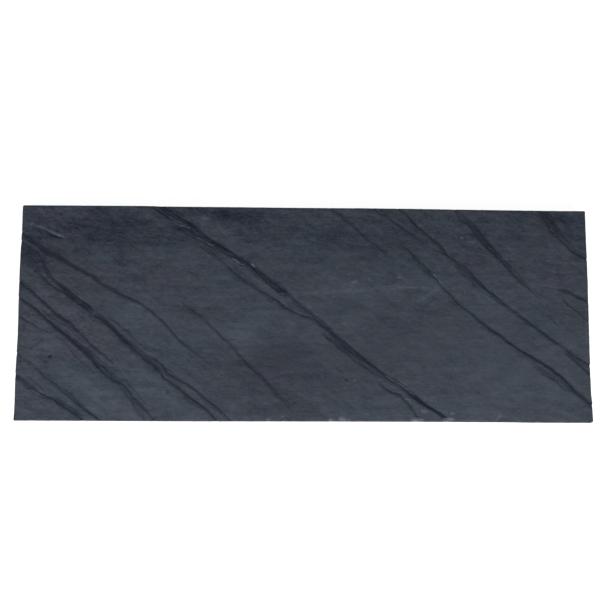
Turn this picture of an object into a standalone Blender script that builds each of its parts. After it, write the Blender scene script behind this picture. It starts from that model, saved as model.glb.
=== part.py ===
"""Slate slab, 800 x 300 x 20 mm: one piece of slate with sawn sides and a riven top.

Lengths are metres and +Z is up. The origin is the centre of the flat underside. +X runs along
the slab and is called east here, and +Y runs across it and is called north.
"""

import math
import random
from typing import NamedTuple

import bmesh
import bpy
import numpy as np
from mathutils import Vector
from mathutils.geometry import delaunay_2d_cdt

LENGTH = 0.800
WIDTH = 0.300
THICKNESS = 0.020
TOP_LEVEL = 0.0194

# How far each sawn side stands out from its straight line, as (place along the side, distance
# out) pairs. The east side ends at the south in a nub that the saw left.
WANDER = {
    "south": (
        (-0.400, 0.0), (-0.150, 0.00025), (0.100, -0.00025), (0.290, 0.0), (0.305, 0.0004),
        (0.400, 0.0004),
    ),
    "east": (
        (-0.150, 0.0020), (-0.127, 0.0020), (-0.112, 0.0005), (-0.090, 0.0004), (-0.086, 0.0),
        (0.057, 0.0004), (0.150, -0.00035),
    ),
    "north": (
        (-0.400, -0.0005), (-0.300, 0.0), (-0.219, 0.00045), (-0.200, -0.0002), (0.0, 0.0),
        (0.088, 0.0005), (0.200, 0.0), (0.360, -0.0005), (0.400, -0.0003),
    ),
    "west": (
        (-0.150, 0.0), (-0.126, -0.0003), (-0.084, 0.00045), (-0.038, -0.0006), (0.023, 0.0004),
        (0.080, 0.0003), (0.118, -0.0004), (0.150, -0.0002),
    ),
}
CORNER_RADIUS = {"southeast": 0.0015, "northeast": 0.0025, "northwest": 0.0025, "southwest": 0.0010}
CORNER_STEPS = 3
SIDE_SPACING = 0.020

# The worn arris round the top, how far it drops for its width, and the chips that widen it
# along the south side, as (place along the side, half-length, extra width).
ARRIS_WIDTH = 0.0008
ARRIS_DROP = 0.8
CHIPPED_BAND = 0.010
CHIPS = (
    (-0.050, 0.004, 0.0010), (-0.030, 0.005, 0.0012), (0.038, 0.008, 0.0014),
    (0.057, 0.006, 0.0010), (0.155, 0.009, 0.0015), (0.198, 0.004, 0.0010),
    (0.265, 0.005, 0.0012),
)
FOOT_ARRIS = 0.0006

# Long low swells of the riven face about TOP_LEVEL, as (height, length, heading in degrees,
# phase).
SWELLS = (
    (0.00018, 0.410, 78.0, 0.6), (0.00012, 0.230, 24.0, 2.1), (0.00010, 0.150, 52.0, 4.0),
    (0.00008, 0.095, 70.0, 1.3),
)

# The loose field of points that carries the swells between the clefts. Its jitter is a share of
# its spacing.
FIELD_SPACING = 0.0165
FIELD_JITTER = 0.22
FIELD_CLEARANCE = 0.0050
JITTER_SEED = 11
WELD = 0.00002


# A cleft's cliff on its north side is steep and its apron on the south side is shallow: their
# widths are shares of its mouth. The mouth and the depth waver along it.
CLIFF_SHARE = 0.45
APRON_SHARE = 1.9
WAVER_SHARE = 0.30
WAVER_LENGTH = 0.062
WAVER_SHIFT = 37.0

# How far north of a cleft its raised layer runs before it is level with the rest.
STEP_REACH = 0.025


class Cleft(NamedTuple):
    """A diagonal break in the top layers: a ledge that the face north of it drops down from.

    mouth sets its width, depth is that of its floor, fade is the length over which an end that
    stops on the slab closes, and step is how much higher the layer north of it stands. The
    route is its floor, from west to east.
    """

    mouth: float
    depth: float
    fade: float
    route: tuple
    step: float = 0.0


CLEFTS = {
    "northwest_ledge": Cleft(mouth=0.0018, depth=0.0007, fade=0.022, step=0.0003, route=(
        (-0.39, 0.122), (-0.378, 0.118), (-0.365, 0.113), (-0.354, 0.108), (-0.341, 0.103),
        (-0.332, 0.101),
    )),
    "west_upper": Cleft(mouth=0.0022, depth=0.0009, fade=0.045, route=(
        (-0.403, 0.115), (-0.382, 0.098), (-0.371, 0.088), (-0.36, 0.082), (-0.344, 0.075),
        (-0.322, 0.062), (-0.306, 0.054), (-0.294, 0.0465), (-0.284, 0.0385), (-0.273, 0.032),
        (-0.262, 0.027), (-0.248, 0.021), (-0.23, 0.012), (-0.22, 0.005), (-0.208, -0.005),
        (-0.195, -0.017), (-0.18, -0.034), (-0.173, -0.04), (-0.158, -0.052), (-0.148, -0.058),
        (-0.136, -0.065),
    )),
    "west_fork_upper": Cleft(mouth=0.0024, depth=0.001, fade=0.03, route=(
        (-0.403, 0.101), (-0.384, 0.088), (-0.377, 0.083), (-0.37, 0.072), (-0.363, 0.061),
        (-0.356, 0.05), (-0.35, 0.043), (-0.337, 0.034), (-0.326, 0.025), (-0.315, 0.017),
        (-0.304, 0.01), (-0.295, 0.001), (-0.287, -0.008),
    )),
    "west_fork_lower": Cleft(mouth=0.0018, depth=0.0008, fade=0.025, route=(
        (-0.39, 0.064), (-0.38, 0.058), (-0.372, 0.052), (-0.366, 0.046), (-0.36, 0.04),
        (-0.351, 0.034), (-0.337, 0.027), (-0.326, 0.018), (-0.315, 0.011), (-0.304, 0.002),
        (-0.293, -0.006),
    )),
    "west_main": Cleft(mouth=0.003, depth=0.0013, fade=0.025, step=0.0003, route=(
        (-0.304, 0.003), (-0.293, -0.006), (-0.28, -0.014), (-0.268, -0.023), (-0.26, -0.032),
        (-0.248, -0.042), (-0.236, -0.054), (-0.224, -0.065), (-0.215, -0.07), (-0.208, -0.076),
        (-0.202, -0.084), (-0.195, -0.092), (-0.186, -0.097), (-0.177, -0.105), (-0.166, -0.113),
        (-0.158, -0.119), (-0.15, -0.124), (-0.137, -0.134), (-0.131, -0.14), (-0.119, -0.153),
    )),
    "west_main_upper": Cleft(mouth=0.002, depth=0.0009, fade=0.025, route=(
        (-0.227, -0.052), (-0.217, -0.06), (-0.206, -0.067), (-0.197, -0.075), (-0.191, -0.084),
        (-0.182, -0.089), (-0.173, -0.095), (-0.164, -0.099), (-0.153, -0.107), (-0.142, -0.116),
        (-0.133, -0.123), (-0.124, -0.129), (-0.113, -0.139), (-0.099, -0.153),
    )),
    "west_companion": Cleft(mouth=0.001, depth=0.0004, fade=0.02, route=(
        (-0.275, -0.006), (-0.264, -0.014), (-0.254, -0.022), (-0.243, -0.03), (-0.235, -0.037),
    )),
    "west_middle": Cleft(mouth=0.002, depth=0.0008, fade=0.04, route=(
        (-0.403, 0.046), (-0.393, 0.036), (-0.382, 0.028), (-0.371, 0.018), (-0.362, 0.011),
        (-0.353, 0.002), (-0.346, -0.002), (-0.337, -0.009), (-0.326, -0.017), (-0.32, -0.023),
        (-0.312, -0.03), (-0.304, -0.039), (-0.297, -0.046), (-0.287, -0.054), (-0.28, -0.059),
        (-0.271, -0.067), (-0.263, -0.074), (-0.255, -0.081),
    )),
    "west_low": Cleft(mouth=0.0024, depth=0.0011, fade=0.025, route=(
        (-0.403, 0.021), (-0.387, 0.011), (-0.374, 0.002), (-0.366, -0.006), (-0.36, -0.012),
        (-0.351, -0.019), (-0.342, -0.026), (-0.333, -0.032), (-0.322, -0.042), (-0.312, -0.048),
        (-0.302, -0.058), (-0.295, -0.067), (-0.287, -0.075), (-0.281, -0.083), (-0.271, -0.09),
        (-0.262, -0.096), (-0.253, -0.1), (-0.246, -0.107), (-0.237, -0.118), (-0.23, -0.124),
        (-0.222, -0.132), (-0.213, -0.143), (-0.203, -0.153),
    )),
    "west_low_strand": Cleft(mouth=0.0016, depth=0.0007, fade=0.018, route=(
        (-0.247, -0.112), (-0.238, -0.127), (-0.231, -0.137), (-0.218, -0.153),
    )),
    "west_short": Cleft(mouth=0.0014, depth=0.0005, fade=0.03, route=(
        (-0.403, -0.004), (-0.392, -0.01), (-0.381, -0.016), (-0.371, -0.022), (-0.361, -0.026),
        (-0.353, -0.028),
    )),
    "southwest_main": Cleft(mouth=0.0022, depth=0.001, fade=0.025, step=0.0002, route=(
        (-0.403, -0.055), (-0.391, -0.065), (-0.381, -0.072), (-0.371, -0.079), (-0.363, -0.087),
        (-0.355, -0.093), (-0.346, -0.099), (-0.337, -0.108), (-0.326, -0.117), (-0.317, -0.124),
        (-0.307, -0.132), (-0.296, -0.139), (-0.288, -0.145), (-0.279, -0.153),
    )),
    "southwest_outer": Cleft(mouth=0.0022, depth=0.001, fade=0.025, route=(
        (-0.403, -0.084), (-0.393, -0.092), (-0.384, -0.102), (-0.374, -0.107), (-0.366, -0.112),
        (-0.358, -0.116), (-0.346, -0.121), (-0.34, -0.127), (-0.328, -0.133), (-0.32, -0.139),
        (-0.311, -0.145), (-0.3, -0.153),
    )),
    "great_trough": Cleft(mouth=0.006, depth=0.0011, fade=0.2, route=(
        (-0.215, 0.154), (-0.196, 0.1415), (-0.18, 0.1295), (-0.166, 0.1195), (-0.151, 0.108),
        (-0.139, 0.0955), (-0.125, 0.087), (-0.11, 0.0745), (-0.092, 0.0605), (-0.076, 0.049),
        (-0.057, 0.0365), (-0.042, 0.0265), (-0.03, 0.018),
    )),
    "great_upper": Cleft(mouth=0.002, depth=0.0012, fade=0.03, step=0.0003, route=(
        (-0.208, 0.153), (-0.2, 0.147), (-0.191, 0.144), (-0.182, 0.137), (-0.173, 0.132),
        (-0.162, 0.125), (-0.151, 0.117), (-0.144, 0.111), (-0.135, 0.104), (-0.124, 0.098),
        (-0.115, 0.092), (-0.105, 0.085), (-0.096, 0.078), (-0.086, 0.072), (-0.073, 0.064),
        (-0.062, 0.056), (-0.051, 0.046), (-0.04, 0.038), (-0.031, 0.033), (-0.02, 0.025),
        (-0.006, 0.011), (0.004, 0.001),
    )),
    "great_lower": Cleft(mouth=0.0026, depth=0.0013, fade=0.025, route=(
        (-0.224, 0.153), (-0.207, 0.143), (-0.192, 0.1325), (-0.179, 0.1205), (-0.168, 0.113),
        (-0.157, 0.1045), (-0.146, 0.096), (-0.135, 0.088), (-0.124, 0.078), (-0.114, 0.069),
        (-0.106, 0.061), (-0.096, 0.053), (-0.086, 0.046), (-0.073, 0.036), (-0.062, 0.031),
        (-0.051, 0.024), (-0.04, 0.018), (-0.031, 0.011), (-0.022, 0.005), (-0.013, 0.0),
        (-0.003, -0.003), (0.007, -0.005), (0.017, -0.01), (0.028, -0.018), (0.036, -0.025),
        (0.044, -0.032), (0.054, -0.039), (0.063, -0.047), (0.072, -0.054), (0.083, -0.063),
        (0.096, -0.073), (0.107, -0.083), (0.118, -0.091), (0.129, -0.097), (0.139, -0.1035),
        (0.149, -0.111), (0.159, -0.119), (0.169, -0.1265), (0.179, -0.133), (0.192, -0.141),
        (0.208, -0.153),
    )),
    "great_strand": Cleft(mouth=0.0016, depth=0.0007, fade=0.02, route=(
        (-0.006, 0.011), (0.007, 0.003), (0.016, -0.005), (0.027, -0.014), (0.038, -0.023),
        (0.044, -0.03),
    )),
    "great_frayed": Cleft(mouth=0.0018, depth=0.0007, fade=0.025, route=(
        (0.023, -0.028), (0.032, -0.034), (0.042, -0.042), (0.049, -0.049), (0.06, -0.055),
        (0.065, -0.062), (0.072, -0.067), (0.083, -0.073), (0.092, -0.082), (0.1, -0.087),
    )),
    "great_branch": Cleft(mouth=0.002, depth=0.0008, fade=0.02, route=(
        (0.097, -0.089), (0.104, -0.097), (0.112, -0.104), (0.12, -0.109), (0.132, -0.113),
        (0.137, -0.119), (0.143, -0.125), (0.147, -0.129), (0.152, -0.136), (0.157, -0.143),
        (0.17, -0.153),
    )),
    "centre_long": Cleft(mouth=0.0015, depth=0.0006, fade=0.045, route=(
        (-0.183, 0.022), (-0.166, 0.008), (-0.148, -0.003), (-0.142, -0.008), (-0.133, -0.017),
        (-0.122, -0.028), (-0.115, -0.036), (-0.101, -0.05), (-0.086, -0.064), (-0.078, -0.074),
        (-0.062, -0.087), (-0.055, -0.095), (-0.046, -0.102), (-0.035, -0.114),
    )),
    "north_thin": Cleft(mouth=0.0015, depth=0.0006, fade=0.04, route=(
        (0.031, 0.153), (0.036, 0.149), (0.046, 0.143), (0.052, 0.136), (0.06, 0.131),
        (0.068, 0.124), (0.077, 0.116), (0.086, 0.107), (0.097, 0.1), (0.104, 0.092),
        (0.112, 0.085), (0.122, 0.076), (0.132, 0.068), (0.14, 0.063),
    )),
    "north_short": Cleft(mouth=0.0017, depth=0.0007, fade=0.035, route=(
        (0.092, 0.153), (0.1, 0.147), (0.109, 0.142), (0.12, 0.135), (0.132, 0.127),
        (0.138, 0.123), (0.146, 0.118), (0.154, 0.114), (0.162, 0.108), (0.167, 0.104),
        (0.178, 0.094),
    )),
    "east_main": Cleft(mouth=0.0024, depth=0.0011, fade=0.025, step=0.0002, route=(
        (0.127, 0.153), (0.132, 0.149), (0.143, 0.142), (0.149, 0.134), (0.158, 0.125),
        (0.167, 0.117), (0.179, 0.107), (0.187, 0.101), (0.194, 0.094), (0.2, 0.085),
        (0.209, 0.078), (0.218, 0.073), (0.229, 0.064), (0.239, 0.054), (0.25, 0.043),
        (0.26, 0.034), (0.269, 0.026), (0.279, 0.017), (0.289, 0.01), (0.298, 0.003),
        (0.305, -0.003), (0.314, -0.009), (0.325, -0.018), (0.332, -0.023), (0.342, -0.03),
        (0.353, -0.038), (0.362, -0.044), (0.369, -0.05), (0.379, -0.058), (0.389, -0.063),
        (0.403, -0.072),
    )),
    "east_lower": Cleft(mouth=0.0016, depth=0.0006, fade=0.025, route=(
        (0.209, 0.07), (0.22, 0.06), (0.232, 0.05), (0.239, 0.043), (0.246, 0.035), (0.258, 0.028),
        (0.269, 0.021), (0.28, 0.012), (0.288, 0.005),
    )),
    "east_corner": Cleft(mouth=0.0018, depth=0.0008, fade=0.02, route=(
        (0.358, -0.045), (0.365, -0.052), (0.374, -0.059), (0.383, -0.067), (0.392, -0.076),
        (0.403, -0.088),
    )),
    "southeast_black": Cleft(mouth=0.0028, depth=0.0014, fade=0.03, step=0.0003, route=(
        (0.13, 0.106), (0.138, 0.096), (0.147, 0.09), (0.156, 0.078), (0.165, 0.071),
        (0.172, 0.063), (0.182, 0.052), (0.187, 0.045), (0.194, 0.038), (0.202, 0.031),
        (0.209, 0.022), (0.218, 0.013), (0.228, 0.006), (0.236, 0.0), (0.243, -0.007),
        (0.253, -0.014), (0.263, -0.022), (0.273, -0.028), (0.283, -0.037), (0.292, -0.042),
        (0.3, -0.048), (0.314, -0.056), (0.323, -0.062), (0.333, -0.068), (0.343, -0.074),
        (0.354, -0.082), (0.362, -0.088), (0.368, -0.095), (0.374, -0.102), (0.38, -0.109),
        (0.39, -0.117), (0.405, -0.128),
    )),
    "southeast_strand": Cleft(mouth=0.0015, depth=0.0006, fade=0.025, route=(
        (0.314, -0.065), (0.325, -0.075), (0.336, -0.084), (0.347, -0.088), (0.355, -0.095),
        (0.362, -0.102), (0.372, -0.108), (0.38, -0.114),
    )),
    "northeast_band": Cleft(mouth=0.0024, depth=0.0011, fade=0.035, route=(
        (0.211, 0.153), (0.218, 0.14), (0.226, 0.132), (0.234, 0.125), (0.243, 0.115),
        (0.25, 0.105), (0.258, 0.096), (0.266, 0.091), (0.273, 0.082), (0.28, 0.074),
        (0.288, 0.066), (0.296, 0.058), (0.305, 0.048), (0.313, 0.041), (0.32, 0.033),
        (0.328, 0.026), (0.336, 0.021),
    )),
    "corner_band": Cleft(mouth=0.0022, depth=0.001, fade=0.03, route=(
        (0.336, 0.152), (0.34, 0.143), (0.344, 0.134), (0.348, 0.125), (0.353, 0.1175),
        (0.359, 0.111), (0.366, 0.104), (0.372, 0.098), (0.38, 0.092), (0.388, 0.087),
        (0.402, 0.08),
    )),
    "corner_upper": Cleft(mouth=0.0018, depth=0.0008, fade=0.025, route=(
        (0.335, 0.153), (0.342, 0.145), (0.353, 0.134), (0.359, 0.123), (0.365, 0.115),
        (0.372, 0.105), (0.379, 0.097),
    )),
    "east_twig_upper": Cleft(mouth=0.0017, depth=0.0007, fade=0.025, route=(
        (0.35, 0.038), (0.357, 0.037), (0.367, 0.033), (0.378, 0.03), (0.388, 0.026),
        (0.404, 0.018),
    )),
    "east_twig_lower": Cleft(mouth=0.0015, depth=0.0006, fade=0.02, route=(
        (0.36, 0.031), (0.364, 0.027), (0.369, 0.018), (0.377, 0.01), (0.385, 0.005),
        (0.392, -0.002), (0.404, -0.011),
    )),
}

# Round pits, as (x, y, radius, depth).
PITS = ((-0.3537, -0.0617, 0.0030, 0.0014), (0.0570, -0.0910, 0.0022, 0.0010))
PIT_SIDES = 8

SLATE_COLOUR = (0.046, 0.054, 0.069, 1.0)
SLATE_ROUGHNESS = 0.62


def clear_scene():
    """Remove every object, so that the model starts from nothing."""
    for leftover in list(bpy.data.objects):
        bpy.data.objects.remove(leftover, do_unlink=True)


def smooth(amount):
    """Ease 0..1 in and out."""
    amount = np.clip(amount, 0.0, 1.0)
    return amount * amount * (3.0 - 2.0 * amount)


def wander(side, along):
    """How far a sawn side stands out at a place along it."""
    places, distances = zip(*WANDER[side])
    return float(np.interp(along, places, distances))


def side_point(side, along):
    """The plan position of a place along a sawn side."""
    out = wander(side, along)
    return {
        "south": (along, -WIDTH / 2 - out),
        "east": (LENGTH / 2 + out, along),
        "north": (along, WIDTH / 2 + out),
        "west": (-LENGTH / 2 - out, along),
    }[side]


def side_places(side, start, stop):
    """Places for vertices along a side: its wander's own points, its chips and a fill between."""
    places = [place for place, _ in WANDER[side]]
    if side == "south":
        for place, half_length, _ in CHIPS:
            places += [place - half_length, place, place + half_length]
    places = sorted({place for place in places if start < place < stop} | {start, stop})
    filled = []
    for here, there in zip(places, places[1:]):
        count = max(1, round((there - here) / SIDE_SPACING))
        filled += [here + (there - here) * index / count for index in range(count)]
    return filled + [stop]


def corner_arc(centre, radius, first_angle):
    """The inner points of a rounded corner, anticlockwise; the sides bring its two ends."""
    angles = [first_angle + 90.0 * step / CORNER_STEPS for step in range(1, CORNER_STEPS)]
    return [
        (
            centre[0] + radius * math.cos(math.radians(angle)),
            centre[1] + radius * math.sin(math.radians(angle)),
        )
        for angle in angles
    ]


def make_outline():
    """The slab's plan outline, anticlockwise from the southwest corner."""
    turns = (
        ("south", "southwest", "southeast", 1),
        ("east", "southeast", "northeast", 1),
        ("north", "northeast", "northwest", -1),
        ("west", "northwest", "southwest", -1),
    )
    outline = []
    for turn, (side, start_corner, end_corner, direction) in enumerate(turns):
        half = LENGTH / 2 if side in ("south", "north") else WIDTH / 2
        start = -direction * (half - CORNER_RADIUS[start_corner])
        stop = direction * (half - CORNER_RADIUS[end_corner])
        places = side_places(side, min(start, stop), max(start, stop))[::direction]
        outline += [side_point(side, place) for place in places]
        radius = CORNER_RADIUS[end_corner]
        last = outline[-1]
        centre = {
            "south": (last[0], last[1] + radius),
            "east": (last[0] - radius, last[1]),
            "north": (last[0], last[1] - radius),
            "west": (last[0] + radius, last[1]),
        }[side]
        outline += corner_arc(centre, radius, -90.0 + 90.0 * turn)
    return np.array(outline)


def inward_normals(loop):
    """Unit vectors pointing into an anticlockwise loop, one at each of its points."""
    tangents = np.roll(loop, -1, axis=0) - np.roll(loop, 1, axis=0)
    tangents /= np.linalg.norm(tangents, axis=1)[:, None]
    return np.stack([-tangents[:, 1], tangents[:, 0]], axis=1)


def arris_widths(points):
    """The width of the worn top arris at each point near the outline."""
    widths = np.full(len(points), ARRIS_WIDTH)
    on_south = points[:, 1] < -WIDTH / 2 + CHIPPED_BAND
    for place, half_length, extra in CHIPS:
        bite = np.clip(1.0 - abs(points[:, 0] - place) / half_length, 0.0, 1.0)
        widths += np.where(on_south, extra * bite, 0.0)
    return widths


def nearest_on_line(points, line):
    """For each point its distance to a polyline, its side and its place along the line.

    The side is +1 left of the line's direction and -1 right of it, and the place is a length
    measured from the line's first point.
    """
    best = np.full(len(points), np.inf)
    side = np.ones(len(points))
    place = np.zeros(len(points))
    travelled = 0.0
    for start, end in zip(line, line[1:]):
        run = end - start
        length = float(np.hypot(*run))
        offset = points - start
        share = np.clip(offset @ run / length**2, 0.0, 1.0)
        gap = offset - share[:, None] * run
        distance = np.hypot(gap[:, 0], gap[:, 1])
        closer = distance < best
        best = np.where(closer, distance, best)
        cross = run[0] * offset[:, 1] - run[1] * offset[:, 0]
        side = np.where(closer, np.sign(cross), side)
        place = np.where(closer, travelled + share * length, place)
        travelled += length
    return best, side, place


def on_slab(point):
    """Whether a plan point lies on the slab."""
    return abs(point[0]) < LENGTH / 2 and abs(point[1]) < WIDTH / 2


def opening(cleft, places):
    """How open a cleft is at places along it: 1, falling to 0 at an end that is on the slab."""
    route = np.array(cleft.route)
    total = float(np.sum(np.hypot(*np.diff(route, axis=0).T)))
    amount = np.ones(len(places))
    if on_slab(route[0]):
        amount *= smooth(places / cleft.fade)
    if on_slab(route[-1]):
        amount *= smooth((total - places) / cleft.fade)
    return amount


def waver(cleft, places):
    """How the cleft widens and narrows along itself, about 1."""
    shift = WAVER_SHIFT * sum(cleft.route[0])
    return 1.0 + WAVER_SHARE * np.sin(2.0 * math.pi * places / WAVER_LENGTH + shift)


def cleft_lines(cleft):
    """A cleft's floor and its two lips, as polylines in plan."""
    route = np.array(cleft.route)
    runs = np.diff(route, axis=0)
    runs /= np.linalg.norm(runs, axis=1)[:, None]
    headings = np.vstack([runs[:1], runs[:-1] + runs[1:], runs[-1:]])
    headings /= np.linalg.norm(headings, axis=1)[:, None]
    across = np.stack([-headings[:, 1], headings[:, 0]], axis=1)
    lengths = np.hypot(*np.diff(route, axis=0).T)
    places = np.concatenate([[0.0], np.cumsum(lengths)])
    mouth = cleft.mouth * opening(cleft, places) * waver(cleft, places)
    reach = across * mouth[:, None]
    return route, route + CLIFF_SHARE * reach, route - APRON_SHARE * reach


def cleft_relief(cleft, points):
    """The groove below the top and the step above it that a cleft makes at each point."""
    distance, side, place = nearest_on_line(points, np.array(cleft.route))
    scale = opening(cleft, place) * waver(cleft, place)
    share = np.where(side > 0, CLIFF_SHARE, APRON_SHARE)
    mouth = np.maximum(cleft.mouth * share * scale, WELD)
    groove = cleft.depth * scale * np.clip(1.0 - distance / mouth, 0.0, 1.0)
    rise = np.clip(distance / mouth, 0.0, 1.0)
    fall = 1.0 - smooth((distance - mouth) / STEP_REACH)
    step = np.where(side > 0, cleft.step * scale * rise * fall, 0.0)
    return groove, step


def pit_relief(points):
    """How far the pits lower each point."""
    lowered = np.zeros(len(points))
    for x, y, radius, depth in PITS:
        distance = np.hypot(points[:, 0] - x, points[:, 1] - y)
        lowered = np.maximum(lowered, depth * np.clip(1.0 - distance / radius, 0.0, 1.0))
    return lowered


def swell(points):
    """The long low waves of the riven face."""
    height = np.zeros(len(points))
    for amount, length, heading, phase in SWELLS:
        angle = math.radians(heading)
        run = points[:, 0] * math.cos(angle) + points[:, 1] * math.sin(angle)
        height += amount * np.sin(2.0 * math.pi * run / length + phase)
    return height


def top_heights(points, outline):
    """The height of the riven top at each plan point, with its worn arris."""
    deepest = pit_relief(points)
    raised = np.zeros(len(points))
    for cleft in CLEFTS.values():
        groove, step = cleft_relief(cleft, points)
        deepest = np.maximum(deepest, groove)
        raised = np.maximum(raised, step)
    closed = np.vstack([outline, outline[:1]])
    to_side, _, _ = nearest_on_line(points, closed)
    widths = arris_widths(points)
    worn = ARRIS_DROP * np.clip(widths - to_side, 0.0, None)
    return np.minimum(TOP_LEVEL + swell(points) + raised - deepest - worn, THICKNESS)


def field_points(lines):
    """A loose triangular field of points over the top, clear of the given lines."""
    jitter = random.Random(JITTER_SEED)
    row_gap = FIELD_SPACING * math.sqrt(3.0) / 2.0
    rows = math.ceil(WIDTH / row_gap)
    columns = math.ceil(LENGTH / FIELD_SPACING)
    field = []
    for row in range(rows + 1):
        for column in range(columns + 1):
            shift = 0.5 * (row % 2)
            x = (column - columns / 2 + shift + jitter.uniform(-FIELD_JITTER, FIELD_JITTER))
            y = (row - rows / 2 + jitter.uniform(-FIELD_JITTER, FIELD_JITTER))
            field.append((x * FIELD_SPACING, y * row_gap))
    field = np.array(field)
    inside = (abs(field[:, 0]) < LENGTH / 2) & (abs(field[:, 1]) < WIDTH / 2)
    clear = inside
    for line in lines:
        distance, _, _ = nearest_on_line(field, np.array(line))
        clear = clear & (distance > FIELD_CLEARANCE)
    return field[clear]


def plan_of_top(outline):
    """Triangles over the slab's plan that follow the arris, every cleft and every pit."""
    shoulder = outline + inward_normals(outline) * arris_widths(outline)[:, None]
    loops = [outline, shoulder]
    for x, y, radius, _ in PITS:
        angles = 2.0 * math.pi * np.arange(PIT_SIDES) / PIT_SIDES
        loops.append(np.stack([x + radius * np.cos(angles), y + radius * np.sin(angles)], axis=1))
    lines = [line for cleft in CLEFTS.values() for line in cleft_lines(cleft)]
    points = []
    edges = []
    for loop in loops:
        first = len(points)
        points += [tuple(point) for point in loop]
        edges += [(first + i, first + (i + 1) % len(loop)) for i in range(len(loop))]
    for line in lines:
        first = len(points)
        points += [tuple(point) for point in line]
        edges += [(first + i, first + i + 1) for i in range(len(line) - 1)]
    points += [(x, y) for x, y, _, _ in PITS]
    keep_clear = lines + [np.vstack([loop, loop[:1]]) for loop in loops]
    points += [tuple(point) for point in field_points(keep_clear)]
    whole_slab = [list(range(len(outline)))]
    flat = [Vector(point) for point in points]
    result = delaunay_2d_cdt(flat, edges, whole_slab, 0, WELD)
    corners, faces, owners = result[0], result[2], result[5]
    return corners, [face for face, owner in zip(faces, owners) if owner]


def add_top(mesh, outline):
    """Lay the riven top into the mesh."""
    corners, faces = plan_of_top(outline)
    heights = top_heights(np.array([tuple(corner) for corner in corners]), outline)
    used = sorted({index for face in faces for index in face})
    vertices = {}
    for index in used:
        vertices[index] = mesh.verts.new((*corners[index], heights[index]))
    for face in faces:
        mesh.faces.new([vertices[index] for index in face])


def centre_over_origin(mesh):
    """Slide the mesh in plan until the middle of its bounding box is over the origin."""
    plan = np.array([tuple(vertex.co.xy) for vertex in mesh.verts])
    middle = (plan.min(axis=0) + plan.max(axis=0)) / 2.0
    bmesh.ops.translate(mesh, verts=mesh.verts, vec=(-middle[0], -middle[1], 0.0))


def ordered_rim(mesh):
    """The vertices round the open edge of the top, anticlockwise."""
    after = {}
    for edge in mesh.edges:
        if edge.is_boundary:
            loop = edge.link_loops[0]
            after[loop.vert] = loop.link_loop_next.vert
    first = next(iter(after))
    rim = [first]
    while after[rim[-1]] is not first:
        rim.append(after[rim[-1]])
    return rim


def add_sides_and_sole(mesh):
    """Drop plumb sawn sides from the rim, break the foot arris and close the flat underside."""
    rim = ordered_rim(mesh)
    plan = np.array([tuple(vertex.co.xy) for vertex in rim])
    inset = plan + inward_normals(plan) * FOOT_ARRIS
    foot = [mesh.verts.new((x, y, FOOT_ARRIS)) for x, y in plan]
    sole = [mesh.verts.new((x, y, 0.0)) for x, y in inset]
    for upper, lower in ((rim, foot), (foot, sole)):
        for index, corner in enumerate(upper):
            after = (index + 1) % len(upper)
            mesh.faces.new([corner, lower[index], lower[after], upper[after]])
    mesh.faces.new(sole[::-1])


def slate_material():
    """Blue-grey slate, dull and fine-grained."""
    material = bpy.data.materials.new("slate")
    material.use_nodes = True
    shader = material.node_tree.nodes["Principled BSDF"]
    shader.inputs["Base Color"].default_value = SLATE_COLOUR
    shader.inputs["Roughness"].default_value = SLATE_ROUGHNESS
    shader.inputs["Metallic"].default_value = 0.0
    material.diffuse_color = SLATE_COLOUR
    return material


def make_slab():
    """The whole slab, as one closed solid."""
    outline = make_outline()
    mesh = bmesh.new()
    add_top(mesh, outline)
    add_sides_and_sole(mesh)
    centre_over_origin(mesh)
    bmesh.ops.triangulate(mesh, faces=mesh.faces)
    bmesh.ops.recalc_face_normals(mesh, faces=mesh.faces)
    data = bpy.data.meshes.new("slab")
    mesh.to_mesh(data)
    mesh.free()
    data.materials.append(slate_material())
    slab = bpy.data.objects.new("slab", data)
    bpy.context.collection.objects.link(slab)
    return slab


clear_scene()
make_slab()
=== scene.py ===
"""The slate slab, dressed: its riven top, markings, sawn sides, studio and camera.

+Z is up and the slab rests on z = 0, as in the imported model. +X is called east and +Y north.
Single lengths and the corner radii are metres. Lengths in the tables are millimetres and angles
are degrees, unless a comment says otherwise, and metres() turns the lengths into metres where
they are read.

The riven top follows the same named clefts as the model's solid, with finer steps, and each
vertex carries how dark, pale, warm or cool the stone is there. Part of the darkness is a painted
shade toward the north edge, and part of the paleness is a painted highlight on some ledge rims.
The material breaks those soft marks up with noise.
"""

import math
from typing import NamedTuple

import bpy
import numpy as np
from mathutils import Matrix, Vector, noise
from mathutils.geometry import delaunay_2d_cdt
from mathutils.kdtree import KDTree


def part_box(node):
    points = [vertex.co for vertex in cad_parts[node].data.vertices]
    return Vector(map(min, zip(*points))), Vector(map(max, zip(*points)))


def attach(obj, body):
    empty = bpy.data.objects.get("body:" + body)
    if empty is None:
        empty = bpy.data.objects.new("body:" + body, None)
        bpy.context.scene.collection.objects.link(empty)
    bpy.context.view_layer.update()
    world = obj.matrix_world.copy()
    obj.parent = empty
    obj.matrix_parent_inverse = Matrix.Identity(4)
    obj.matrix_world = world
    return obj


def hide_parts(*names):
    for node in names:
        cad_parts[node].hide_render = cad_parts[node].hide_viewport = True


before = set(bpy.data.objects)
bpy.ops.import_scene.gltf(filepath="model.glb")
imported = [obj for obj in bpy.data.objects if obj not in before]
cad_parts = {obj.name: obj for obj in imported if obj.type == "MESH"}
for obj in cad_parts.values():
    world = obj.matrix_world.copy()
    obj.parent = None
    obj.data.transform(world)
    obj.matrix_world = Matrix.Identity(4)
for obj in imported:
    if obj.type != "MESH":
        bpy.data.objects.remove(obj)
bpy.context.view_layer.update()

PER_METRE = 1000.0

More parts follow.
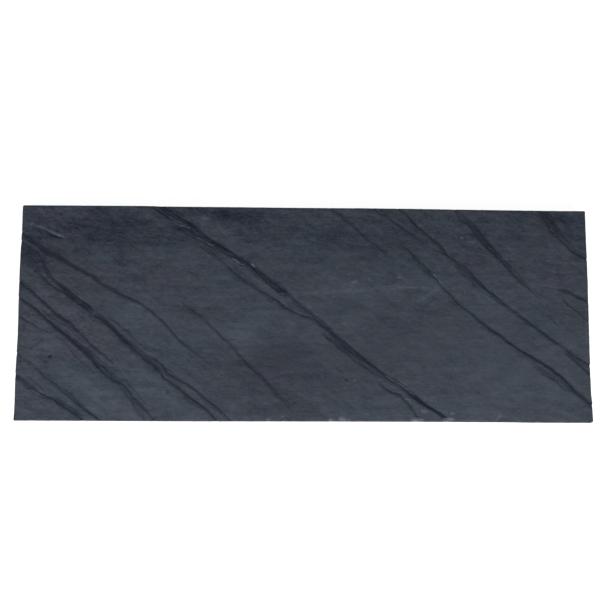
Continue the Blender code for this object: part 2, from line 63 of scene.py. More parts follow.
# The slab, as in the model. Its sides wander by up to 2 mm about this length and width, which are
# whole centimetres.
SLAB_LOW, SLAB_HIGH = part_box("slab")
LENGTH = round(SLAB_HIGH.x - SLAB_LOW.x, 2)
WIDTH = round(SLAB_HIGH.y - SLAB_LOW.y, 2)
TOP_LEVEL = 0.0194
CORNER_RADIUS = {"southeast": 0.0015, "northeast": 0.0025, "northwest": 0.0025, "southwest": 0.0010}
CORNER_STEPS = 4
ARRIS_WIDTH = 0.0008
ARRIS_VARIATION = 0.5
ARRIS_DROP = 0.8
ARRIS_REACH = 0.004
CHIPPED_BAND = 0.010
FOOT_ARRIS = 0.0006
CLIFF_SHARE = 0.45
APRON_SHARE = 1.9
WAVER_SHARE = 0.30
WAVER_LENGTH = 0.062
WAVER_SHIFT = 37.0
STEP_REACH = 0.025

# Finer steps of the dressed surface.
SIDE_SPACING = 0.0021
LINE_SPACING = 0.0022
FIELD_SPACING = 0.00235
FIELD_CLEARANCE = 0.0011
FIELD_JITTER = 0.15
SOLE_SPACING = 0.010
SOLE_JITTER = 0.1
JITTER_STEPS = (0.71, 0.83, 0.4)
MIDDLE_SHARE = 0.35
BARELY_OPEN = 0.05
WALL_ROWS = 8
FOOT_STEPS = (0.3, 1.0)
WELD = 0.00002
SOLE_WELD = 1e-9
FRET = 0.00015
RAGGED = 0.0006
SAW_ROUGHNESS = 0.00006
SAW_PER_METRE = (90.0, 90.0, 260.0)
SAW_DETAIL = 3
OCTAVE_FADE = 1.0
OCTAVE_STEP = 2.0
SHARP_ANGLE = 40.0
RIPPLE_SHIFT = 3.0
ANYWHERE = 1.0

# How the marks spread and fade.
# Painted shade: the top is darkened toward its north edge, where the light falls off.
PAINTED_NORTH_SHADE = 0.45
PAINTED_SHADE_START = 0.010
PAINTED_SHADE_LENGTH = 0.105
NORTH_SHADE = 0.0025
SOUTH_SHADE = 0.0027
LINE_GAP = 0.41
PLATEAU = 2.1
FADE_SHARE = 0.3
FADE_REACHES = 3.0
PIT_DARKNESS = 1.6
# Pale strokes: scuffs, and painted highlights on ledge rims.
PALE_STROKE_WIDTH = 1.3
PALE_STROKE_STRENGTH = 1.25
PALE_SPECK_STRENGTH = 0.6
RUST_SPECK_STRENGTH = 1.6
SPECK_EDGE = 1.5
WALL_FADE = 0.22
MEAN_GRAIN = 0.95

# How far each side stands outside its straight edge, as (place along it, distance).
WANDER = {
    "south": ((-400, 0), (-150, 0.25), (100, -0.25), (290, 0), (305, 0.4), (400, 0.4)),
    "east": ((-150, 2), (-127, 2), (-112, 0.5), (-90, 0.4), (-86, 0), (57, 0.4), (150, -0.35)),
    "north": (
        (-400, -0.5), (-300, 0), (-219, 0.45), (-200, -0.2), (0, 0), (88, 0.5), (200, 0),
        (360, -0.5), (400, -0.3),
    ),
    "west": (
        (-150, 0), (-126, -0.3), (-84, 0.45), (-38, -0.6), (23, 0.4), (80, 0.3), (118, -0.4),
        (150, -0.2),
    ),
}

# Chips in the south arris, as (place along it, half length, extra width).
CHIPS = (
    (-50, 4, 1), (-30, 5, 1.2), (38, 8, 1.4), (57, 6, 1), (155, 9, 1.5), (198, 4, 1), (265, 5, 1.2),
)

# Long low waves of the riven face, as (height, length, heading, phase in radians).
SWELLS = (
    (0.18, 410, 78.0, 0.6), (0.12, 230, 24.0, 2.1), (0.10, 150, 52.0, 4.0), (0.08, 95, 70.0, 1.3),
)

# Fine relief of the riven face, as (height, length east, length north, detail).
RIPPLES = ((0.12, 45, 12, 3), (0.06, 12, 4, 2), (0.05, 6, 6, 2))

# Noises along the edges and lines, as (length east, length north, detail, shift).
FRET_NOISE = (10, 10, 3, 5.0)
ARRIS_NOISE = (12, 12, 2, 9.0)
RAGGED_NOISE = (9, 9, 3, 2.0)

# Pits, as (x, y, radius, depth), and specks, as (x, y, radius).
PITS = ((-353.7, -61.7, 3.4, 1.2), (57, -91, 2.2, 1))
RUST_SPECKS = ((-275, -110, 3), (-330, -50, 2.8), (205, -10, 2.8), (230, -103, 2.6))
PALE_SPECKS = ((68, -93, 1.4), (60, -98, 1.2), (-196, -111, 1.6), (43, 66, 1.4))

# Where the grain is stronger or weaker, as (x, y, reach east, reach north, stronger).
COARSENESS = (
    (-400, 0, 85, 200, 0.36), (-210, 150, 240, 45, 0.36), (200, 150, 240, 50, 0.22),
    (0, -62, 85, 45, -0.30), (180, -45, 130, 45, -0.30), (-270, -50, 80, 120, 0.10),
    (320, -80, 90, 60, -0.18), (60, 55, 130, 50, -0.12), (240, 75, 70, 35, 0.12),
)

# Colours of the stone.
TEAL = (0.0248, 0.0372, 0.0470, 1.0)
PURPLE = (0.0353, 0.0370, 0.0490, 1.0)
RUST = (0.0620, 0.0440, 0.0400, 1.0)
ROSY = (1.024, 0.973, 1.012, 1.0)
GREENISH = (0.976, 1.027, 0.988, 1.0)
# DEEP is the dark that low tone and dark grain blend to, and so it also carries the painted shade
# toward the north.
DEEP = (0.0045, 0.0078, 0.0165, 1.0)
VEIN = (0.0044, 0.0072, 0.0146, 1.0)
PALE = (0.0800, 0.0950, 0.1100, 1.0)
SAWN = (0.0400, 0.0470, 0.0570)

# The middle of a noise's range of about 0..1.
NOISE_MIDDLE = 0.5

# Noises of the stone, as (size east, size north, size up, detail, roughness, turn, stir).
GRAINS = {
    "clouds": (110, 50, 50, 5.0, 0.55, -14.0, 0.6),
    "drift": (40, 10, 20, 5.0, 0.6, -3.0, 0.4),
    "sweep": (50, 5, 20, 4.0, 0.55, -38.0, 0.0),
    "mottle": (17, 8.5, 10, 4.0, 0.6, -4.0, 0.4),
    "flecks": (6.5, 3.8, 5, 4.0, 0.65, -6.0, 0.3),
    "lines": (12, 1.5, 10, 4.0, 0.65, 2.0, 0.0),
    "fine": (3, 2.4, 2.4, 5.0, 0.75, 0.0, 0.0),
    "layers": (90, 90, 1.1, 5.0, 0.6, 0.0, 0.0),
    "tints": (60, 30, 30, 4.0, 0.6, 0.0, 0.5),
    "chips": (14, 10, 10, 2.0, 0.6, 0.0, 0.3),
    "stain": (12, 8, 8, 5.0, 0.65, 0.0, 0.0),
    "fray": (7, 2, 4, 4.0, 0.7, -30.0, 0.0),
    "glints": (6, 1.3, 4, 3.0, 0.6, 4.0, 0.0),
}

# Noises in strands along the veins, as (length, width).
STRAND_GRAINS = {"strands": (30, 2.1), "blots": (14, 5)}

# How much each noise adds to the stone's light, roughness and relief, and to its marks.
LIGHT = {
    "clouds": 0.75, "drift": 0.95, "sweep": 0.50, "mottle": 0.75, "flecks": 0.75, "lines": 0.70,
    "fine": 1.10,
}
DULLNESS = {"drift": 0.25, "fine": 0.12}
RELIEF = {"fine": 0.35, "lines": 0.55, "flecks": 0.6, "drift": 0.9, "sweep": 0.6, "dark": -0.9}
TINTS = {"tints": 1.15}
STAINS = {"stain": 2.0}
TEARS = {"fray": 1.0, "strands": 1.3, "blots": 0.8}
BAND_STRANDS = {"strands": 3.2, "blots": 1.4, "fray": 1.2}
PALE_TEARS = {"fine": 1.2, "lines": 0.8}
LAYERS = {"layers": 0.75, "fine": 0.5}

# How frayed the edge of a mark is, and the strength at which it is full.
VEIN_FRAY = (0.75, 0.78)
HAIR_FRAY = (0.60, 0.62)
PALE_FRAY = (0.9, 0.95)
FRAY_START = 0.25

# Ranges of a noise over which a mark comes in.
CHIP_RANGE = (0.35, 0.65)
RUST_RANGE = (0.9, 2.6)
GLINT_RANGE = (0.62, 0.80)

# Strengths in the material.
WARMTH_DEPTH = 0.50
TONE_DEPTH = 0.50
CORE_DEPTH = 0.86
HAIR_DEPTH = 0.8
BAND_DEPTH = 0.98
GLOOM_DEPTH = 1.25
RUST_DEPTH = 0.32
GLINT_DEPTH = 0.30
SAWN_VEIN_DEPTH = 0.6
ROUGHNESS = 0.60
DARK_ROUGHNESS = 0.12
SPECULAR = 0.14
BUMP_HEIGHT = 0.00022
LAYER_RELIEF = 0.8
STRAND_DETAIL = 3.0
STRAND_ROUGHNESS = 0.6

# Studio. The lens and the sensor are millimetres.
CAMERA_PLACE = (-0.0236, -0.0366, 0.7891)
CAMERA_TURN = (4.096, -1.084, 0.365)
CAMERA_LENS = 33.0
SENSOR = 36.0
FLOOR_SIZE = 8.0
FLOOR_COLOUR = (0.25, 0.25, 0.25, 1.0)
FLOOR_GLOW_COLOUR = (1.0, 1.0, 1.0, 1.0)
FLOOR_GLOW = 0.90
FLOOR_ROUGHNESS = 0.95
WORLD_COLOUR = (0.94, 0.97, 1.0, 1.0)
WORLD_STRENGTH = 0.30

# Soft boxes, as (name, place, size, power), in metres and watts.
SOFT_BOXES = (
    ("key", (0.2, -2.1, 1.8), (3.0, 1.0), 132.0),
    ("west_fill", (-1.8, 0.2, 1.3), (1.2, 1.2), 5.0),
    ("north_fill", (0.6, 1.7, 1.4), (1.6, 1.0), 3.0),
)


class Cleft(NamedTuple):
    """A ledge broken across the top. Its tones, how dark it is, are spread evenly along it."""

    mouth: float
    depth: float
    fade: float
    step: float
    tones: np.ndarray
    route: np.ndarray


class Stroke(NamedTuple):
    """A soft mark along a route. Its half-widths and tones are spread evenly along it."""

    reach: np.ndarray
    tones: np.ndarray
    route: np.ndarray


def metres(lengths):
    """Lengths in millimetres as an array in metres, with at least one dimension."""
    return np.atleast_1d(np.array(lengths, dtype=float)) / PER_METRE


def cleft(mouth, depth, fade, tones, *route, step=0):
    """A cleft given in millimetres."""
    return Cleft(*metres((mouth, depth, fade, step)), np.atleast_1d(tones), metres(route))


def stroke(reach, tones, *route):
    """A stroke given in millimetres."""
    return Stroke(metres(reach), np.atleast_1d(tones), metres(route))


def pale_stroke(reach, tones, *route):
    """A pale stroke given in millimetres, for scuffs and painted rim highlights alike, made broader and
    stronger as all of them are.
    """
    return stroke(PALE_STROKE_WIDTH * np.array(reach), PALE_STROKE_STRENGTH * np.array(tones), *route)


CLEFTS = dict(
    northwest_ledge=cleft(1.8, 0.7, 22, 0.55, (-390, 122), (-378, 118), (-365, 113), (-354, 108),
        (-341, 103), (-332, 101), step=0.3),
    west_upper=cleft(2.2, 0.9, 45, (0.6, 0.65, 0.6, 0.5, 0.35), (-403, 115), (-382, 98), (-371, 88),
        (-360, 82), (-344, 75), (-322, 62), (-306, 54), (-294, 46.5), (-284, 38.5), (-273, 32),
        (-262, 27), (-248, 21), (-230, 12), (-220, 5), (-208, -5), (-195, -17), (-180, -34),
        (-173, -40), (-158, -52), (-148, -58), (-136, -65)),
    west_fork_upper=cleft(2.4, 1, 30, (0.5, 0.8), (-403, 101), (-384, 88), (-377, 83), (-370, 72),
        (-363, 61), (-356, 50), (-350, 43), (-337, 34), (-326, 25), (-315, 17), (-304, 10), (-295, 1),
        (-287, -8)),
    west_fork_lower=cleft(1.8, 0.8, 25, (0.5, 0.8), (-390, 64), (-380, 58), (-372, 52), (-366, 46),
        (-360, 40), (-351, 34), (-337, 27), (-326, 18), (-315, 11), (-304, 2), (-293, -6)),
    west_main=cleft(3, 1.3, 25, (0.8, 0.75, 0.75), (-304, 3), (-293, -6), (-280, -14), (-268, -23),
        (-260, -32), (-248, -42), (-236, -54), (-224, -65), (-215, -70), (-208, -76), (-202, -84),
        (-195, -92), (-186, -97), (-177, -105), (-166, -113), (-158, -119), (-150, -124), (-137, -134),
        (-131, -140), (-119, -153), step=0.3),
    west_main_upper=cleft(2, 0.9, 25, (0.6, 0.6, 0.45), (-227, -52), (-217, -60), (-206, -67),
        (-197, -75), (-191, -84), (-182, -89), (-173, -95), (-164, -99), (-153, -107), (-142, -116),
        (-133, -123), (-124, -129), (-113, -139), (-99, -153)),
    west_companion=cleft(1, 0.4, 20, 0.4, (-275, -6), (-264, -14), (-254, -22), (-243, -30),
        (-235, -37)),
    west_middle=cleft(2, 0.8, 40, (0.7, 0.65, 0.55), (-403, 46), (-393, 36), (-382, 28), (-371, 18),
        (-362, 11), (-353, 2), (-346, -2), (-337, -9), (-326, -17), (-320, -23), (-312, -30),
        (-304, -39), (-297, -46), (-287, -54), (-280, -59), (-271, -67), (-263, -74), (-255, -81)),
    west_low=cleft(2.4, 1.1, 25, (0.65, 0.9, 0.65, 0.4), (-403, 21), (-387, 11), (-374, 2), (-366, -6),
        (-360, -12), (-351, -19), (-342, -26), (-333, -32), (-322, -42), (-312, -48), (-302, -58),
        (-295, -67), (-287, -75), (-281, -83), (-271, -90), (-262, -96), (-253, -100), (-246, -107),
        (-237, -118), (-230, -124), (-222, -132), (-213, -143), (-203, -153)),
    west_low_strand=cleft(1.6, 0.7, 18, 0.4, (-247, -112), (-238, -127), (-231, -137), (-218, -153)),
    west_short=cleft(1.4, 0.5, 30, (0.6, 0.4), (-403, -4), (-392, -10), (-381, -16), (-371, -22),
        (-361, -26), (-353, -28)),
    southwest_main=cleft(2.2, 1, 25, (0.35, 0.45, 0.8), (-403, -55), (-391, -65), (-381, -72),
        (-371, -79), (-363, -87), (-355, -93), (-346, -99), (-337, -108), (-326, -117), (-317, -124),
        (-307, -132), (-296, -139), (-288, -145), (-279, -153), step=0.2),
    southwest_outer=cleft(2.2, 1, 25, (0.45, 0.9), (-403, -84), (-393, -92), (-384, -102), (-374, -107),
        (-366, -112), (-358, -116), (-346, -121), (-340, -127), (-328, -133), (-320, -139),
        (-311, -145), (-300, -153)),
    great_trough=cleft(6, 1.1, 200, 0, (-215, 154), (-196, 141.5), (-180, 129.5), (-166, 119.5),
        (-151, 108), (-139, 95.5), (-125, 87), (-110, 74.5), (-92, 60.5), (-76, 49), (-57, 36.5),
        (-42, 26.5), (-30, 18)),
    great_upper=cleft(2, 1.2, 30,
        (0.75, 0.5, 0.4, 0.38, 0.36, 0.4, 0.45, 0.5, 0.55, 0.62, 0.6, 0.5, 0.1, 0, 0.1), (-208, 153),
        (-200, 147), (-191, 144), (-182, 137), (-173, 132), (-162, 125), (-151, 117), (-144, 111),
        (-135, 104), (-124, 98), (-115, 92), (-105, 85), (-96, 78), (-86, 72), (-73, 64), (-62, 56),
        (-51, 46), (-40, 38), (-31, 33), (-20, 25), (-6, 11), (4, 1), step=0.3),
    great_lower=cleft(2.6, 1.3, 25, (0.45, 0.15, 0.1, 0.5, 0.5, 0.55, 0.5, 0.6, 0.7, 0.95, 1),
        (-224, 153), (-207, 143), (-192, 132.5), (-179, 120.5), (-168, 113), (-157, 104.5), (-146, 96),
        (-135, 88), (-124, 78), (-114, 69), (-106, 61), (-96, 53), (-86, 46), (-73, 36), (-62, 31),
        (-51, 24), (-40, 18), (-31, 11), (-22, 5), (-13, 0), (-3, -3), (7, -5), (17, -10), (28, -18),
        (36, -25), (44, -32), (54, -39), (63, -47), (72, -54), (83, -63), (96, -73), (107, -83),
        (118, -91), (129, -97), (139, -103.5), (149, -111), (159, -119), (169, -126.5), (179, -133),
        (192, -141), (208, -153)),
    great_strand=cleft(1.6, 0.7, 20, 0.5, (-6, 11), (7, 3), (16, -5), (27, -14), (38, -23), (44, -30)),
    great_frayed=cleft(1.8, 0.7, 25, 0.45, (23, -28), (32, -34), (42, -42), (49, -49), (60, -55),
        (65, -62), (72, -67), (83, -73), (92, -82), (100, -87)),
    great_branch=cleft(2, 0.8, 20, 0.6, (97, -89), (104, -97), (112, -104), (120, -109), (132, -113),
        (137, -119), (143, -125), (147, -129), (152, -136), (157, -143), (170, -153)),
    centre_long=cleft(1.5, 0.6, 45, (0.4, 0.4, 0.35), (-183, 22), (-166, 8), (-148, -3), (-142, -8),
        (-133, -17), (-122, -28), (-115, -36), (-101, -50), (-86, -64), (-78, -74), (-62, -87),
        (-55, -95), (-46, -102), (-35, -114)),
    north_thin=cleft(1.5, 0.6, 40, (0.5, 0.3), (31, 153), (36, 149), (46, 143), (52, 136), (60, 131),
        (68, 124), (77, 116), (86, 107), (97, 100), (104, 92), (112, 85), (122, 76), (132, 68),
        (140, 63)),
    north_short=cleft(1.7, 0.7, 35, (0.4, 0.3), (92, 153), (100, 147), (109, 142), (120, 135),
        (132, 127), (138, 123), (146, 118), (154, 114), (162, 108), (167, 104), (178, 94)),
    east_main=cleft(2.4, 1.1, 25, (0.7, 0.65, 0.45, 0.6, 0.6), (127, 153), (132, 149), (143, 142),
        (149, 134), (158, 125), (167, 117), (179, 107), (187, 101), (194, 94), (200, 85), (209, 78),
        (218, 73), (229, 64), (239, 54), (250, 43), (260, 34), (269, 26), (279, 17), (289, 10),
        (298, 3), (305, -3), (314, -9), (325, -18), (332, -23), (342, -30), (353, -38), (362, -44),
        (369, -50), (379, -58), (389, -63), (403, -72), step=0.2),
    east_lower=cleft(1.6, 0.6, 25, 0.4, (209, 70), (220, 60), (232, 50), (239, 43), (246, 35),
        (258, 28), (269, 21), (280, 12), (288, 5)),
    east_corner=cleft(1.8, 0.8, 20, 0.6, (358, -45), (365, -52), (374, -59), (383, -67), (392, -76),
        (403, -88)),
    southeast_black=cleft(2.8, 1.4, 30, (0.4, 0.45, 0.6, 1, 0.8), (130, 106), (138, 96), (147, 90),
        (156, 78), (165, 71), (172, 63), (182, 52), (187, 45), (194, 38), (202, 31), (209, 22),
        (218, 13), (228, 6), (236, 0), (243, -7), (253, -14), (263, -22), (273, -28), (283, -37),
        (292, -42), (300, -48), (314, -56), (323, -62), (333, -68), (343, -74), (354, -82), (362, -88),
        (368, -95), (374, -102), (380, -109), (390, -117), (405, -128), step=0.3),
    southeast_strand=cleft(1.5, 0.6, 25, 0.45, (314, -65), (325, -75), (336, -84), (347, -88),
        (355, -95), (362, -102), (372, -108), (380, -114)),
    northeast_band=cleft(2.4, 1.1, 35, (0.5, 0.55, 0.35), (211, 153), (218, 140), (226, 132),
        (234, 125), (243, 115), (250, 105), (258, 96), (266, 91), (273, 82), (280, 74), (288, 66),
        (296, 58), (305, 48), (313, 41), (320, 33), (328, 26), (336, 21)),
    corner_band=cleft(2.2, 1, 30, (0.1, 0.1, 0.4, 0.6, 0.6, 0.6), (336, 152), (340, 143), (344, 134),
        (348, 125), (353, 117.5), (359, 111), (366, 104), (372, 98), (380, 92), (388, 87), (402, 80)),
    corner_upper=cleft(1.8, 0.8, 25, 0.45, (335, 153), (342, 145), (353, 134), (359, 123), (365, 115),
        (372, 105), (379, 97)),
    east_twig_upper=cleft(1.7, 0.7, 25, 0.6, (350, 38), (357, 37), (367, 33), (378, 30), (388, 26),
        (404, 18)),
    east_twig_lower=cleft(1.5, 0.6, 20, 0.4, (360, 31), (364, 27), (369, 18), (377, 10), (385, 5),
        (392, -2), (404, -11)),
)

# Thin dark lines, painted and not carved.
HAIRLINES = dict(
    west_middle_companion=stroke(0.9, 0.55, (-368, 3), (-355, -7), (-345, -14), (-333, -20),
        (-320, -31), (-304, -46)),
    west_low_upper=stroke(0.8, 0.5, (-365, -2), (-357, -8), (-348, -15), (-337, -23), (-324, -33)),
    west_low_inner=stroke(1, 0.6, (-306, -48), (-297, -56), (-290, -62), (-283, -68), (-276, -73),
        (-268, -80)),
    west_low_inner_b=stroke(0.9, 0.5, (-300, -62), (-292, -69), (-285, -77), (-277, -84)),
    west_low_below=stroke(0.9, 0.45, (-342, -35), (-333, -44), (-320, -60), (-311, -68), (-300, -78),
        (-290, -85)),
    west_low_fan_a=stroke(0.8, 0.5, (-262, -90), (-252, -93), (-245, -99), (-236, -108), (-226, -120),
        (-218, -130)),
    west_low_fan_b=stroke(0.9, 0.5, (-256, -104), (-248, -114), (-240, -124), (-231, -133),
        (-224, -142), (-219, -150)),
    west_low_fan_c=stroke(0.8, 0.4, (-238, -120), (-228, -124), (-220, -133), (-212, -138)),
    west_faint=stroke(1, 0.4, (-397, -45), (-388, -49), (-377, -52)),
    west_main_thin=stroke(0.8, 0.55, (-195, -77), (-188, -80), (-181, -86)),
    west_main_between=stroke(1, 0.6, (-268, -27), (-254, -37), (-240, -46), (-228, -56)),
    west_main_edge=stroke(0.9, 0.5, (-262, -36), (-252, -44), (-243, -51), (-234, -59)),
    west_root_a=stroke(1, 0.5, (-398, 88), (-388, 82), (-379, 76)),
    west_root_b=stroke(0.9, 0.4, (-397, 70), (-388, 66), (-380, 60)),
    southwest_companion=stroke(0.9, 0.5, (-333, -106), (-322, -114), (-312, -123), (-302, -131)),
    southwest_middle=stroke(1, 0.65, (-392, -92), (-384, -97), (-377, -103), (-370, -108), (-363, -113),
        (-354, -117)),
    southwest_high=stroke(0.9, 0.55, (-385, -88), (-377, -95), (-369, -100), (-363, -106),
        (-358, -112)),
    southwest_lower=stroke(1, 0.6, (-388, -104), (-378, -110), (-369, -116), (-360, -119),
        (-352, -121)),
    southwest_upper=stroke(1.1, 0.6, (-340, -122), (-326, -129), (-315, -136), (-304, -144)),
    great_strand_a=stroke(0.9, 0.6, (-201, 148), (-190, 141), (-180, 134), (-170, 126), (-160, 119),
        (-150, 112)),
    great_strand_b=stroke(0.8, 0.5, (-202, 141), (-192, 134), (-182, 127), (-174, 124)),
    great_notch_a=stroke(1, 0.8, (-180, 120.5), (-174, 119), (-168, 116), (-162, 112)),
    great_notch_b=stroke(1, 0.8, (-160, 108), (-153, 103), (-146, 98.5), (-139, 94.5), (-129, 93)),
    great_notch_c=stroke(0.9, 0.55, (-163, 112), (-160, 106), (-156, 102)),
    great_notch_d=stroke(0.9, 0.5, (-152, 95), (-145, 90), (-137, 83), (-131, 81)),
    great_notch_e=stroke(0.8, 0.45, (-140, 90), (-134, 86), (-127, 81)),
    great_notch_f=stroke(1, 0.65, (-103, 74), (-97, 71), (-92, 67.5), (-86, 66)),
    great_notch_g=stroke(0.9, 0.5, (-34, 27), (-30, 25), (-26, 25)),
    great_middle_a=stroke(1.1, 0.75, (2, 3), (10, -4), (18, -11), (27, -18), (36, -25)),
    great_middle_b=stroke(1, 0.7, (24, -27), (31, -33), (39, -37), (47, -44), (55, -51), (62, -55)),
    great_middle_c=stroke(0.9, 0.6, (52, -46), (60, -50), (67, -57), (75, -61), (84, -66)),
    great_middle_d=stroke(0.9, 0.6, (68, -54), (78, -60), (88, -68), (97, -75), (106, -82)),
    great_parallel=stroke(1, 0.75, (104, -80), (115, -86), (126, -93), (137, -100), (148, -108),
        (158, -117), (166, -124)),
    great_parallel_b=stroke(0.9, 0.6, (132, -103), (141, -109), (150, -117), (158, -123)),
    great_thin=stroke(0.8, 0.45, (120, -88), (132, -96)),
    northeast_companion=stroke(1.1, 0.6, (236, 126), (246, 118), (253, 111), (264, 97), (274, 85),
        (284, 74)),
    northeast_lower=stroke(1, 0.55, (232, 122), (240, 113), (248, 103), (256, 96)),
    northeast_rungs=stroke(0.9, 0.5, (296, 60), (304, 52), (312, 45), (318, 39)),
    northeast_tail=stroke(2.2, 0.4, (340, 1), (347, -6), (353, -12), (359, -20)),
    north_blue_a=stroke(1, 0.55, (128, 137), (136, 131), (145, 127)),
    north_short_tail=stroke(0.9, 0.4, (176, 96), (187, 90), (199, 85)),
    north_join=stroke(1, 0.55, (181, 92), (190, 88), (200, 83)),
    twig_lead=stroke(0.8, 0.4, (325, 41), (338, 39.5), (352, 37.5)),
    corner_edge_a=stroke(1.2, 0.6, (352, 140), (357, 130), (364, 118), (370, 110), (377, 102),
        (384, 97)),
    corner_edge_b=stroke(1.2, 0.6, (343, 129), (351, 119), (358, 112), (366, 104)),
    corner_core=stroke(1.8, 0.8, (342, 147), (344, 142), (345, 137)),
    corner_core_b=stroke(1.6, 0.85, (350, 139), (352, 134), (355, 130)),
    corner_nick=stroke(0.8, 0.55, (377, 92), (381, 88), (385, 85)),
    south_streak=stroke(0.9, 0.55, (42, -75), (48, -80), (54, -84)),
    northwest_scratch=stroke(0.9, 0.6, (-329, 133), (-327, 128), (-324, 120), (-321, 113)),
    northwest_nick_a=stroke(0.8, 0.55, (-318, 118), (-313, 119), (-307, 118)),
    northwest_nick_b=stroke(0.7, 0.45, (-314, 121), (-309, 121)),
    northwest_dark_a=stroke(1.6, 0.5, (-388, 113.5), (-381, 114.5), (-373, 112), (-369, 111)),
    northwest_dark_b=stroke(1.3, 0.5, (-362, 106.5), (-355, 105.5), (-348, 103)),
)

